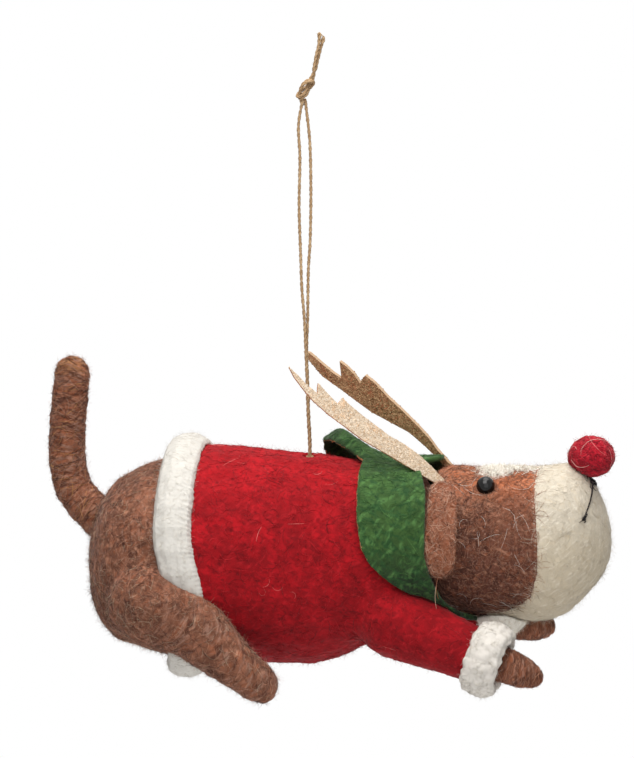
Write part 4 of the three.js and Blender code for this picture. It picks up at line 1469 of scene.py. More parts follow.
@dataclass
class TwineLoop:
    """The loop of two-ply twine, its knot and its frayed ends, in mm."""

    thick: float = 0.85
    ply_share: float = 0.36
    away_share: float = 0.15
    end_share: float = 0.4
    pitch: float = 3.0
    sides: int = 8
    step: float = 0.28
    dip: float = 1.2
    spin_reach: float = 16.0
    knot_gap: float = 0.4
    frayed: float = 1.1
    frayed_steps: int = 12
    hairs: Crop = Crop(150, (1.5, 4.0), (0.04, 0.07), lift=0.02, ends=0.3, curl=0.5, seed=11)
    knot_hairs: Crop = Crop(240, (2.0, 4.5), (0.05, 0.08), lift=0.03, ends=0.45, curl=0.6, seed=12)
    route_a: Route = (
        (0.1, -0.3, 0.9), (-0.5, -0.35, -1.1), (-1.24, -0.5, -6.6), (-0.85, -0.5, -14.7),
        (-1.08, -0.4, -27.4), (-0.66, -0.5, -40), (-0.35, -0.6, -48.4), (0.34, -0.6, -56.9),
        (0.7, -0.6, -65), (1.03, -0.6, -73.7), (1.3, -0.6, -82), (1.62, -0.6, -88), (1.7, -0.6, -92),
    )
    route_b: Route = (
        (0.4, 0.3, 0.9), (0.6, 0.35, -1.1), (1.6, 0.5, -10.7), (1.87, 0.5, -23.2), (1.71, 0.4, -35.8),
        (1.2, 0.5, -44.2), (1, 0.6, -56.9), (0.75, 0.6, -65), (1.03, 0.6, -73.7), (1.3, 0.6, -82),
        (1.62, 0.6, -88), (1.7, 0.6, -92),
    )
    knot: Route = (
        (-0.35, 0, -0.9), (-0.55, 0.1, 0.6), (-0.9, -0.35, 2.3), (-0.2, -1.2, 4.4), (1.1, -1.35, 5.6),
        (2.35, -0.35, 5.7), (2.0, 1.0, 4.6), (0.5, 1.35, 3.3), (-1.0, 0.85, 2.0), (-1.35, -0.5, 1.2),
        (-0.2, -1.35, 1.5), (0.95, -0.6, 2.7), (1.3, 0.25, 4.3), (2.1, 0.1, 6.0), (2.65, 0, 7.3),
    )
    ends_a: Route = (
        (2.75, -0.45, 8.4), (3.3, -0.5, 11.8), (4.15, -0.5, 15.6), (4.2, -0.55, 18.4),
    )
    ends_b: Route = ((3.05, 0.45, 8.4), (3.9, 0.5, 12), (4.75, 0.5, 15.2), (5.3, 0.55, 17.2))

    def smooth(self, route: Sequence[Triple]) -> Rows:
        """Runs an even curve through a route.

        Args:
            route: the route's points in mm.

        Returns:
            The curve's points in metres.
        """
        points = np.array(route) * MM
        padded = np.vstack([2 * points[0] - points[1], points, 2 * points[-1] - points[-2]])
        share = np.linspace(0, 1, 24, endpoint=False)[:, None]
        curve = []
        for index in range(len(points) - 1):
            a, b, c, d = padded[index:index + 4]
            curve.append(0.5 * (
                2 * b + (c - a) * share + (2 * a - 5 * b + 4 * c - d) * share**2
                + (3 * b - a - 3 * c + d) * share**3))
        curve.append(points[-1:])
        fine = np.vstack(curve)
        reach = reaches(fine)
        at = np.linspace(0, reach[-1], max(8, int(reach[-1] / (self.step * MM))))
        return spaced(fine, reach, at)

    @staticmethod
    def frames(path: Rows) -> tuple[Rows, Rows]:
        """Carries two directions across a path along it without twist.

        Args:
            path: the path's points.

        Returns:
            Both directions at each point.
        """
        ways = unit(np.gradient(path, axis=0))
        first = np.array([0.0, 1.0, 0.0])
        sides = []
        for way in ways:
            first = first - way * first.dot(way)
            first = first / np.linalg.norm(first)
            sides.append(first)
        side = np.array(sides)
        return side, np.cross(ways, side)

    def plies(self, path: Rows, phase: float, spread: Optional[Rows] = None) -> list[tuple]:
        """Twists two plies round a path.

        Args:
            path: the strand's middle.
            phase: where the twist starts.
            spread: how far the plies open at each point, 1 where they lie close.

        Returns:
            For each ply its points, a direction across it and its radii.
        """
        side, over = self.frames(path)
        reach = reaches(path)
        turn = reach / (self.pitch * MM) * 2 * math.pi + phase
        wobble = 1 + 0.08 * np.sin(reach / MM * 1.7 + phase)
        spread = np.ones(len(path)) if spread is None else spread
        away = self.thick * self.away_share * MM * spread * wobble
        radius = self.thick * self.ply_share * MM * wobble
        radius[-1] *= self.end_share
        made = []
        for half in (0.0, math.pi):
            lean = side * np.cos(turn + half)[:, None] + over * np.sin(turn + half)[:, None]
            made.append((path + lean * away[:, None], lean, radius))
        return made

    def tube(self, path: Rows, up: Rows, radius: Rows) -> tuple[Rows, list]:
        """Makes a closed tube with a faint grain.

        Args:
            path: its middle.
            up: a direction across each point's path.
            radius: a radius for each point.

        Returns:
            Its points and faces.
        """
        turns = np.arange(self.sides) * 2 * math.pi / self.sides
        grain = 1 + 0.1 * np.sin(3 * turns[None] + np.arange(len(path))[:, None] * 0.55)
        points = rings(path, up, radius[:, None] * grain, self.sides)
        faces = walls(len(path), self.sides)
        last = (len(path) - 1) * self.sides
        faces.append(list(range(self.sides))[::-1])
        faces.append(list(range(last, last + self.sides)))
        return points.reshape(-1, 3), faces

    def rope(self, name: str, strands: Sequence[list[tuple]]) -> Piece:
        """Joins the plies of strands in one object.

        Args:
            name: its name.
            strands: the strands, each a list of plies.

        Returns:
            The object.
        """
        points, faces, start = [], [], 0
        for strand in strands:
            for ply in strand:
                ring, quads = self.tube(*ply)
                points.append(ring)
                faces.extend([[index + start for index in face] for face in quads])
                start += len(ring)
        return mesh_piece(name, np.concatenate(points), faces)

    @staticmethod
    def bind(core: Piece, hairs: Piece, material: Material) -> None:
        """Joins a rope and its stray hairs in one mesh.

        Args:
            core: the rope.
            hairs: the hairs.
            material: the rope's material.
        """
        core.data.materials.append(material)
        only(core, hairs)
        bpy.ops.object.join()

    def strand(self, letter: str, route: Sequence[Triple], phase: float, material: Material) -> None:
        """Makes one strand of the loop, from under the coat up to the knot.

        Args:
            letter: the letter in its name.
            route: its route from the knot down.
            phase: where its twist starts.
            material: the twine's material.
        """
        lowest = (SEWN_POINT.x / MM, route[-1][1], SEWN_POINT.z / MM - self.dip)
        path = self.smooth((*route, lowest))[::-1]
        strand = self.rope(f"twine_strand_{letter}", [self.plies(path, phase)])
        laid = [Strewer(strand).lay(self.hairs)]
        self.bind(strand, Strewer.piece(f"{strand.name}_hairs", laid, mixed(JUTE=2, BARK=1), 5), material)
        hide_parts(f"loop_strand_{letter}", f"neck_strand_{letter}")
        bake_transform(strand)

    def tied(self, material: Material) -> None:
        """Ties the knot, with its two frayed ends.

        Args:
            material: the twine's material.
        """
        middle = self.smooth(self.knot)
        side, _ = self.frames(middle)
        strands = []
        for sign, ends in ((-1, self.ends_a), (1, self.ends_b)):
            lie = middle + side * sign * self.knot_gap * MM
            path = relaxed(np.vstack([lie, self.smooth((tuple(lie[-1] / MM),) + ends)[2:]]), 4)
            steps = len(path)
            spread = 1 + self.frayed * smoothstep(np.arange(steps), steps - self.frayed_steps, steps)
            strands.append(self.plies(path, sign * 0.8, spread))
        core = self.rope("twine_knot", strands)
        tips = partial(climbing, low=15.5, high=18.5, base=0.25, gain=5)
        laid = [Strewer(core).lay(self.knot_hairs, tips, partial(straight, way=(0.1, 0, 1.0)))]
        self.bind(core, Strewer.piece("knot_hairs", laid, mixed(HAY=2, HUSK=1), 6), material)
        settle(core, ("cord_knot", "cord_end_a", "cord_end_b"), body="cord_top")

    def build(self) -> None:
        """Makes both strands and the knot, and dresses the buried end."""
        material = Twine().make()
        self.strand("a", self.route_a, 0.0, material)
        self.strand("b", self.route_b, 1.3, material)
        self.tied(material)
        redress(material, "sewn_stitch")


# The dog


@dataclass
class Body:
    """The torso with its hind legs, felted in one, and the wrapped tail, in mm."""

    voxel: float = 0.66
    tail_voxel: float = 0.42
    crease_reach: float = 4.5
    crease_rounds: int = 90
    wrap_height: float = 0.13
    wrap_gap: float = 3.2
    hem_rear: float = -28.0
    bare_reach: float = 13.0
    bare_start: float = 8.0
    tail_line: Route = (
        (-49.4, 0, -114.3), (-53.6, 0, -110.6), (-57.9, 0, -106.8), (-61, 0, -102.1), (-62.3, 0, -96.6),
        (-62.5, 0, -90.9), (-62.2, 0, -85.2), (-61.7, 0, -79.5), (-61.1, 0, -73.9), (-60.6, 0, -68.2),
    )
    hind_right: Route = (
        (-41.2, -14.9, -124.9), (-37.4, -21.7, -128.1), (-30.1, -24.8, -131.1), (-23.0, -26.4, -135.5),
        (-16.7, -26.9, -141.2), (-10.3, -26.0, -146.7), (-3.1, -24.8, -151.0),
    )
    hind_left: Route = (
        (-41.2, 14.9, -124.9), (-37.7, 21.5, -127.9), (-30.7, 24.5, -130.7), (-23.5, 25.9, -134.1),
        (-16.6, 26.4, -138.5), (-9.9, 25.6, -142.9), (-2.5, 24.3, -146.1),
    )
    laid: Crop = Crop(4200, (2.0, 5.5), (0.06, 0.13), lift=0.03, ends=0.3, curl=1.6, seed=21)
    loose: Crop = Crop(1600, (2.0, 5.5), (0.04, 0.065), lift=0.1, ends=0.8, curl=2.0, seed=22)
    low_hairs: Crop = Crop(700, (2.5, 6.5), (0.05, 0.08), lift=0.1, ends=0.8, curl=1.6, seed=24)
    hairs: Crop = Crop(6200, (1.6, 4.4), (0.045, 0.07), lift=0.08, ends=0.6, curl=2.4, seed=26)
    tail_wound: Crop = Crop(1300, (2.5, 6.0), (0.09, 0.18), lift=0.05, ends=0.25, curl=0.8, seed=31)
    tail_loose: Crop = Crop(1100, (1.8, 4.5), (0.04, 0.065), lift=0.1, ends=0.6, curl=2.4, seed=32)

    def __post_init__(self) -> None:
        """Makes the centrelines of the hind legs."""
        self.legs = Winding((self.hind_right, self.hind_left))

    def wrapped(self, rows: Rows, start: float, end: float) -> tuple[Rows, Rows]:
        """Gives the wound coordinates, and the wraps' share from start to end in mm down the legs."""
        wound, far, _, length = self.legs.about(rows)
        return wound, smoothstep(length, start * MM, end * MM) * smoothstep(far, 16 * MM, 12 * MM)

    def wraps(self, rows: Rows, _: Rows) -> Rows:
        """Gives the height of the wraps on the hind legs in mm."""
        wound, share = self.wrapped(rows, 13, 26)
        return self.wrap_height * ridges(wound, self.wrap_gap, 1.0) * share

    def shown(self, rows: Rows, _: Rows) -> Rows:
        """Finds what the coat leaves bare.

        Args:
            rows: the points.

        Returns:
            1 on the rump and the legs, and 0 elsewhere.
        """
        _, far, _, length = self.legs.about(rows)
        bare = (far < self.bare_reach * MM) & (length > self.bare_start * MM)
        return ((rows[:, 0] < self.hem_rear * MM) | bare).astype(float)

    def below(self, rows: Rows, normals: Rows) -> Rows:
        """Gives the low part of what is shown."""
        return self.shown(rows, normals) * climbing(rows, normals, -112, -124)

    def round_limb(self, rows: Rows, normals: Rows) -> Rows:
        """Gives the way of the fibres, round the legs and any way on the rump.

        Args:
            rows: where they start.
            normals: the normals there.

        Returns:
            The ways.
        """
        _, _, way, length = self.legs.about(rows)
        limb = smoothstep(length, 8 * MM, 22 * MM)[:, None]
        rng = np.random.default_rng(77)
        return np.cross(way, normals) * limb + way * 0.35 * limb + rng.normal(size=rows.shape) * (1 - limb)

    def rump(self) -> None:
        """Makes the torso and hind legs."""
        fleece = Fleece.of("body_wool", "torso", "hind_leg_right", "hind_leg_left", swell=0.12)
        fleece.remesh(self.voxel, 14)
        for node in ("hind_leg_right", "hind_leg_left"):
            fleece.melt("torso", node, self.crease_reach, self.crease_rounds)
        fleece.lumps((6.0, 0.45), (1.5, 0.22)).push(self.wraps)
        wound, share = self.wrapped(places(fleece.piece), 10, 24)
        mark(fleece.piece, "wind", wound)
        mark(fleece.piece, "share", share)
        felt = BlendedFelt("wool_brown_body", BROWN_BODY, BROWN_WRAPPED)
        strewer = Strewer(fleece.stuffed(felt.make(), "brown_wool"))
        strewer.strew(
            "body_fibres", "brown_wool", mixed(TAN=2, DARK=4, RUST=1, BROWN=3, GREY_TAN=2), 23,
            (self.laid, self.shown, self.round_limb), (self.loose, self.shown),
        )
        strewer.strew(
            "body_hairs", "brown_wool", mixed(STRAW=1.5, TAN=3, GREY_TAN=3, DARK=3.5), 25,
            (self.low_hairs, self.below), (self.hairs, self.shown),
        )

    def tail(self) -> None:
        """Makes the wrapped tail."""
        winding = Winding((self.tail_line,))
        fleece = Fleece.of("tail_wool", "tail").remesh(self.tail_voxel, 4)
        tail = winding.wrap(fleece, TAIL_WRAPPED, (2.0, 0.25), height=0.2, gap=3.6, seed=0.4)
        tips = partial(climbing, low=-73, high=-67, base=1, gain=2)
        Strewer(tail).strew(
            "tail_fibres", "brown_wool", mixed(TAN=2, DARK=4, RUST=3, GREY_TAN=3, GOLD=1), 33,
            (self.tail_wound, None, partial(winding.around, lean=0.25)), (self.tail_loose, tips),
        )

    def build(self) -> None:
        """Makes the torso, legs and tail, and dresses the wires in all limbs."""
        self.rump()
        self.tail()
        wire = Plain("wire_iron", (0.35, 0.35, 0.35, 1.0), 0.4, 1.0).make()
        redress(wire, "tail_wire", *(f"{pair}_wire_{side}" for pair in ("hind", "fore") for side in SIDES))


@dataclass
class Coat:
    """The red felted coat with its sleeves, its pile hem and cuffs, and the paws, in mm."""

    voxel: float = 0.66
    hem_voxel: float = 0.38
    cuff_voxel: float = 0.36
    paw_voxel: float = 0.4
    crease_reach: float = 8.0
    crease_rounds: int = 260
    pucker: float = 0.6
    middle_height: float = -120.0
    hem_middle: Triple = (-30.44, 0.0, -119.95)
    hem_hole: float = 23.5
    hem_teeth: int = 150
    paw_start: float = 52.0
    fore_lines: dict[str, Route] = field(default_factory=lambda: {
        "right": ((17.1, -11.7, -129.6), (33.0, -14.5, -135.9), (41.0, -15.8, -139.0), (49.2, -16.7, -141.8),
                  (57.5, -16.8, -144.4), (65.5, -16.4, -147.7)),
        "left": ((17.1, 11.7, -129.6), (32.7, 14.5, -132.8), (40.3, 15.8, -135.0), (48.1, 16.5, -136.9),
                 (56.1, 16.4, -138.3), (64.1, 16.4, -139.5)),
    })
    laid: Crop = Crop(2800, (2.0, 5.0), (0.09, 0.18), lift=0.02, ends=0.14, curl=1.6, seed=41)
    loose: Crop = Crop(3400, (1.6, 4.5), (0.035, 0.055), lift=0.08, ends=0.6, curl=2.4, seed=42)
    hem_laid: Crop = Crop(500, (1.2, 2.8), (0.12, 0.22), lift=0.0, ends=0.06, curl=2.0, seed=51)
    hem_loose: Crop = Crop(3000, (1.2, 3.2), (0.035, 0.06), lift=0.08, ends=0.55, curl=2.4, seed=52)
    cuff_loops: Crop = Crop(420, (1.6, 3.2), (0.16, 0.3), lift=0.02, ends=0.08, curl=3.2, seed=61)
    cuff_loose: Crop = Crop(520, (1.5, 3.2), (0.035, 0.06), lift=0.1, ends=0.6, curl=1.8, seed=62)
    paw_wound: Crop = Crop(620, (2.0, 5.0), (0.06, 0.1), lift=0.05, ends=0.2, curl=0.5, seed=71)

    def sewn(self, rows: Rows, _: Rows) -> Rows:
        """Gives how far the twine pulls the felt in round the sewn point, below zero in mm."""
        gap = np.linalg.norm(rows - np.array(SEWN_POINT), axis=1)
        return -self.pucker * smoothstep(gap, 2.4 * MM, 0.5 * MM)

    def outside(self, rows: Rows, normals: Rows) -> Rows:
        """Gives how thickly fibres grow: outside alone, thinner at the collar and none by the twine.

        Args:
            rows: the places.
            normals: the normals there.

        Returns:
            How thickly they grow.
        """
        away = rows - np.array((0, 0, self.middle_height * MM))
        away[:, 0] = 0
        clear = smoothstep(np.linalg.norm(rows - np.array(SEWN_POINT), axis=1), 4 * MM, 5 * MM)
        thinner = 1 - 0.45 * smoothstep(rows[:, 0], 26 * MM, 34 * MM)
        return ((normals * unit(away)).sum(axis=1) > 0.1) * thinner * clear

    def shell(self) -> None:
        """Makes the coat."""
        fleece = Fleece.of("coat_felt", "coat", "sleeve_right", "sleeve_left", swell=0.1)
        fleece.remesh(self.voxel, 16)
        for node in ("sleeve_right", "sleeve_left"):
            fleece.melt("coat", node, self.crease_reach, self.crease_rounds)
        fleece.lumps((7.0, 0.35), (1.6, 0.16)).push(self.sewn)
        coat = fleece.stuffed(RED_COAT.make(), "red_wool")
        Strewer(coat).strew(
            "coat_fibres", "red_wool", mixed(RED=6, CRIMSON=1.5, SCARLET=2, BRICK=5, PINK=0.1), 43,
            (self.laid, self.outside), (self.loose, self.outside),
        )

    def hem_reach(self, rows: Rows) -> tuple[Rows, Rows]:
        """Gives how far points lie from the hem's axis, and their turn round it."""
        _, across, above = (rows - np.array(self.hem_middle) * MM).T
        return np.hypot(across, above), np.arctan2(across, above)

    def rim(self, rows: Rows, _: Rows) -> Rows:
        """Gives 1 on the hem's outside."""
        return (self.hem_reach(rows)[0] > self.hem_hole * MM).astype(float)

    def comb(self, rows: Rows, normals: Rows) -> Rows:
        """Gives the height of the hem's ridges, which stand out as teeth in front.

        Args:
            rows: the points.
            normals: the normals there.

        Returns:
            The heights in mm.
        """
        reach, turn = self.hem_reach(rows)
        along = rows[:, 0] / MM
        drift = np.sin(turn * 9) * 0.6 + np.sin(turn * 23 + along * 0.5) * 0.35
        comb = np.sin(turn * self.hem_teeth + drift * 1.6 + np.sin(along * 1.1 + turn * 40) * 0.9)
        front = smoothstep(normals[:, 0], 0.1, 0.8)
        outer = smoothstep(reach, self.hem_hole * MM, (self.hem_hole + 2) * MM)
        return outer * (0.01 + 0.12 * front * (0.7 + 0.3 * np.sin(turn * 31))) * comb

    def hem(self) -> None:
        """Makes the white pile hem with its fine ridges and toothed front edge."""
        fleece = Fleece.of("hem_pile", "hem_trim").remesh(self.hem_voxel, 3)
        fleece.push(self.comb).lumps((3.0, 0.2), (0.9, 0.1))
        hem = fleece.stuffed(HEM_PILE.make(), "white_boucle")
        Strewer(hem).strew(
            "hem_fibres", "white_boucle", mixed(WHITE=3, CHALK=1), 53,
            (self.hem_laid, self.rim, partial(straight, way=(1.0, 0, 0))), (self.hem_loose, self.rim),
        )

    def cuff(self, side: str) -> None:
        """Makes a lumpy looped cuff.

        Args:
            side: the side that it is on.
        """
        fleece = Fleece.of(f"cuff_pile_{side}", f"cuff_{side}").remesh(self.cuff_voxel, 3)
        fleece.lumps((2.6, -0.5), kind="VORONOI").lumps((1.2, 0.14))
        cuff = fleece.stuffed(WHITE_PILE.make(), "white_boucle")
        Strewer(cuff).strew(
            f"cuff_fibres_{side}", "white_boucle", mixed(WHITE=3, CHALK=1), 63,
            (self.cuff_loops,), (self.cuff_loose,),
        )

    def paw_end(self, rows: Rows, _: Rows) -> Rows:
        """Gives 1 on the bare end of a paw."""
        return (rows[:, 0] > self.paw_start * MM).astype(float)

    def paw(self, side: str) -> None:
        """Makes a wrapped foreleg with its pointed paw.

        Args:
            side: the side that it is on.
        """
        winding = Winding((self.fore_lines[side],))
        fleece = Fleece.of(f"foreleg_wool_{side}", f"foreleg_{side}").remesh(self.paw_voxel, 4)
        paw = winding.wrap(fleece, BROWN_WRAPPED, (1.0, 0.12), height=0.22, gap=2.2, seed=2.0)
        Strewer(paw).strew(
            f"paw_fibres_{side}", "brown_wool", mixed(TAN=2, DARK=3, RUST=2, BROWN=2), 72,
            (self.paw_wound, self.paw_end, partial(winding.around, lean=0.4)),
        )

    def build(self) -> None:
        """Makes the coat, its trims and the paws."""
        self.shell()
        self.hem()
        for side in SIDES:
            self.cuff(side)
            self.paw(side)


@dataclass
class Collar:
    """The green felt collar with its loose lobe, in mm."""

    voxel: float = 0.45
    thick: float = 1.3
    flat_width: float = 40.0
    deepest: float = 8.0
    skin: float = 0.05
    rim_shares: Pair = (1.7, 2.3)
    lobe_front: float = 24.0
    lobe_rear: float = 19.0
    laid: Crop = Crop(2200, (2.2, 5.5), (0.06, 0.12), lift=0.02, ends=0.14, curl=1.6, seed=81)
    loose: Crop = Crop(900, (2.0, 5.0), (0.035, 0.06), lift=0.1, ends=0.6, curl=2.0, seed=82)

    def rim(self, piece: Piece) -> Rows:
        """Finds the lobe's cut edge, where the felt is deeper than the sheet is thick.

        Args:
            piece: the sheet.

        Returns:
            The edge's share at each point.
        """
        rows = places(piece)
        tree = BVHTree.FromObject(piece, bpy.context.evaluated_depsgraph_get())
        deep = []
        for at, normal in zip(rows.tolist(), facings(piece).tolist()):
            inward = -Vector(normal)
            hit = tree.ray_cast(Vector(at) + inward * self.skin * MM, inward, self.deepest * MM)
            deep.append(self.deepest * MM if hit[3] is None else hit[3])
        low, high = (share * self.thick * MM for share in self.rim_shares)
        lobe = smoothstep(rows[:, 0], self.lobe_front * MM, self.lobe_rear * MM)
        return smoothstep(np.array(deep), low, high) * lobe

    @staticmethod
    def half_area(piece: Piece) -> float:
        """Gives the area of one side of a sheet."""
        return sum(face.area for face in piece.data.polygons) / 2

    def build(self) -> None:
        """Makes the collar and its fibres."""
        fleece = Fleece.of("collar_felt", "collar").remesh(self.voxel, 2)
        fleece.lumps((4.5, 0.25), (1.2, 0.1))
        mark(fleece.piece, "rim", self.rim(fleece.piece))
        # The lobe's cut edge is tan, lifted far brighter than the felt's own as painted light, since it faces
        # down into shade.
        collar = fleece.finish(EdgedFelt("felt_green_sheet", GREEN_COLLAR, tint(238, 168, 112)).make())
        settle(collar, fleece.nodes)
        Strewer(collar).strew(
            "collar_fibres", "green_felt", mixed(GREEN=5, MOSS=5, LEAF=0.6), 83, (self.laid,), (self.loose,)
        )


@dataclass(frozen=True)
class Tuft:
    """A tuft of pale wool: its pixel, its size in mm, how fast it thins out and how thickly it grows."""

    pixel: Pixel
    size: Triple
    thins: float
    dense: float


@dataclass
class Head:
    """The brown head, its cream muzzle, blaze and throat, ears, nose, mouth and eyes, in mm."""

    studio: Studio
    voxel: float = 0.46
    ear_voxel: float = 0.36
    nose_voxel: float = 0.3
    swell: float = 0.35
    sunk: float = 0.3
    border: float = 4.0
    spare: float = 3.0
    reach: float = 60.0
    eye_sides: int = 40
    eye_cut_share: float = 0.72
    eye_bevel: float = 0.25
    rear: float = 31.99
    axis: float = -114.07
    length: float = 48.4
    height: float = 39.6
    crest: float = 3.25
    crest_start: float = 46.5
    cream_shares: tuple[Pair, ...] = (
        (0.615, 0.7), (0.615, 0.45), (0.622, 0.36), (0.638, 0.24), (0.655, 0.04), (0.654, -0.05),
        (0.648, -0.14), (0.631, -0.23), (0.607, -0.31), (0.553, -0.36), (0.49, -0.41), (0.425, -0.435),
        (0.35, -0.445), (0.35, -0.7), (1.1, -0.7), (1.1, 0.7),
    )
    wool_start: float = 36.0
    tufts: tuple[Tuft, ...] = (
        Tuft((494, 470), (2.6, 3.4, 1.4), 1.4, 2.0), Tuft((519, 469), (4.6, 2.4, 0.7), 1.6, 0.5),
    )
    ear_tip: Pixel = (439, 574)
    stray_drops: tuple[Pair, ...] = ((0.0, 9.0), (0.3, 6.5))
    stray_radius: float = 0.07
    nose_axis: Triple = (0.5, 0.2, 1.0)
    thread_joints: int = 9
    thread_lift: float = 0.1
    thread_jitter: float = 0.05
    stitches: tuple[tuple[float, tuple[Pixel, ...]], ...] = (
        (0.24, ((588, 472), (590, 478), (592, 486), (591, 494), (589, 503), (586, 511), (583, 519))),
        (0.42, ((588, 478), (592, 482), (595, 486), (598, 489))),
        (0.4, ((586, 514), (584, 517), (582, 519), (583, 521))),
    )
    frays: tuple[tuple[Pixel, Pixel, float, int], ...] = (
        ((590, 480), (597, 487), 5.0, 16), ((584, 516), (582, 521), 4.0, 8), ((587, 473), (589, 478), 3.0, 6),
    )
    fray_radius: float = 0.12
    brown_laid: Crop = Crop(2800, (2.0, 5.0), (0.06, 0.12), lift=0.03, ends=0.25, curl=1.6, seed=91)
    warm_laid: Crop = replace(brown_laid, count=1000, seed=92)
    brown_loose: Crop = Crop(3000, (1.8, 4.5), (0.045, 0.07), lift=0.1, ends=0.6, curl=2.2, seed=93)
    pale_long: Crop = Crop(70, (3.0, 8.0), (0.05, 0.08), lift=0.08, ends=0.4, curl=1.6, seed=94)
    tuft_laid: Crop = Crop(950, (1.4, 3.4), (0.1, 0.2), lift=0.1, ends=0.4, curl=2.0, seed=95)
    cream_laid: Crop = Crop(700, (2.5, 6.0), (0.07, 0.12), lift=0.0, ends=0.1, curl=1.6, seed=96)
    cream_loose: Crop = Crop(1500, (2.5, 6.0), (0.035, 0.055), lift=0.06, ends=0.7, curl=1.8, seed=97)
    throat_laid: Crop = Crop(420, (2.0, 5.0), (0.08, 0.15), lift=0.05, ends=0.4, curl=1.0, seed=98)
    throat_loose: Crop = Crop(120, (3.0, 6.0), (0.04, 0.06), lift=0.1, ends=0.9, curl=1.4, seed=99)
    ear_laid: Crop = Crop(700, (1.6, 4.0), (0.1, 0.18), lift=0.05, ends=0.35, curl=1.8, seed=101)
    ear_loose: Crop = Crop(1200, (1.6, 4.0), (0.04, 0.065), lift=0.1, ends=0.7, curl=2.4, seed=102)
    nose_wound: Crop = Crop(360, (2.5, 6.0), (0.08, 0.16), lift=0.03, ends=0.15, curl=1.0, seed=111)
    nose_loose: Crop = Crop(260, (1.5, 3.5), (0.035, 0.06), lift=0.05, ends=0.6, curl=1.6, seed=112)
    nose_threads: Crop = Crop(
        16, (6.0, 12.0), (0.13, 0.2), lift=0.12, ends=0.1, curl=1.4, seed=114, joints=9
    )

    def outline(self) -> Rows:
        """Gives the outline of the cream wool seen from the side, in metres."""
        along, up = np.array(self.cream_shares).T
        return np.stack([self.rear + along * self.length, self.axis + up * self.height], axis=1) * MM

    def depth(self, rows: Rows) -> Rows:
        """Gives how deep points lie in the cream wool.

        Args:
            rows: the points.

        Returns:
            The depths in metres, below zero in the brown wool.
        """
        side = outline_depth(rows[:, [0, 2]], self.outline())
        strip = np.minimum(self.crest * MM - np.abs(rows[:, 1]), rows[:, 0] - self.crest_start * MM)
        strip = np.where(rows[:, 2] > self.axis * MM, strip, -1.0)
        return np.maximum(side, strip)

    def cutters(self) -> tuple[Piece, Piece]:
        """Makes the solids that part the cream muzzle and the blaze from the head.

        Returns:
            The muzzle's solid and the blaze's.
        """
        outline, wide = self.outline(), self.reach * MM
        count = len(outline)
        flats = [np.insert(outline, 1, side, axis=1) for side in (-wide, wide)]
        faces = [list(range(count)), list(range(count, 2 * count))[::-1]]
        for index in range(count):
            after = (index + 1) % count
            faces.append([index, index + count, after + count, after])
        side = mesh_piece("cutter_side", np.concatenate(flats), faces, smooth=False)
        low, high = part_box("blaze")
        bpy.ops.mesh.primitive_cube_add(size=1.0)
        top = bpy.context.active_object
        start, end = self.crest_start * MM, high.x + self.spare * MM
        floor, roof = low.z, high.z + 2 * self.spare * MM
        top.dimensions = (end - start, self.crest * 2 * MM, roof - floor)
        top.location = ((start + end) / 2, 0, (floor + roof) / 2)
        bpy.ops.object.transform_apply(location=True, scale=True)
        for cutter in (side, top):
            with editing(cutter):
                bpy.ops.mesh.normals_make_consistent(inside=False)
        return side, top

    def face(self) -> Piece:
        """Makes the head, the muzzle and the blaze as one form, parted where the wool's colour changes.

        Returns:
            The muzzle.
        """
        form = Fleece.of("face_form", "head", "muzzle", "blaze", swell=self.swell).remesh(self.voxel, 12)
        form.shrink(self.sunk).lumps((6.0, 0.28), (2.0, 0.07))
        mark(form.piece, "share", np.clip(0.5 + self.depth(places(form.piece)) / (self.border * MM), 0, 1))
        side, top = self.cutters()
        ways = {
            "head": ((side, "DIFFERENCE"), (top, "DIFFERENCE")),
            "blaze": ((side, "DIFFERENCE"), (top, "INTERSECT")),
            "muzzle": ((side, "INTERSECT"),),
        }
        felt = BlendedFelt("wool_face", BROWN_HEAD, CREAM_WOOL, 0.8).make()
        made = {}
        for node, cuts in ways.items():
            part = form.cut(f"{node}_wool", node, cuts)
            slot = "brown_wool" if node == "head" else "cream_wool"
            made[node] = part.stuffed(felt, slot)
        self.fibres(Strewer(form.piece))
        for spare in (form.piece, side, top):
            bpy.data.objects.remove(spare)
        return made["muzzle"]

    def brown(self, rows: Rows, _: Rows) -> Rows:
        """Gives the share of brown fibres."""
        return smoothstep(self.depth(rows), 0.5 * MM, -0.6 * MM) * (rows[:, 0] > self.wool_start * MM)

    def cream(self, rows: Rows, _: Rows) -> Rows:
        """Gives the share of cream fibres."""
        return smoothstep(self.depth(rows), -0.5 * MM, 0.6 * MM)

    def upper(self, rows: Rows, normals: Rows) -> Rows:
        """Gives the share of the warm brown fibres on the crown."""
        return self.brown(rows, normals) * climbing(rows, normals, -108, -99)

    def tufted(self, rows: Rows, _: Rows, skin: Strewer) -> Rows:
        """Gives how thickly the tufts grow.

        Args:
            rows: the places.
            skin: the face.

        Returns:
            How thickly they grow.
        """
        dense = np.zeros(len(rows))
        for tuft in self.tufts:
            spot, _ = self.studio.cast(skin.tree, *tuft.pixel)
            gap = np.linalg.norm((rows - np.array(spot)) / tuft.size, axis=1) / MM
            dense = dense + np.exp(-gap**2 * tuft.thins) * tuft.dense
        return dense

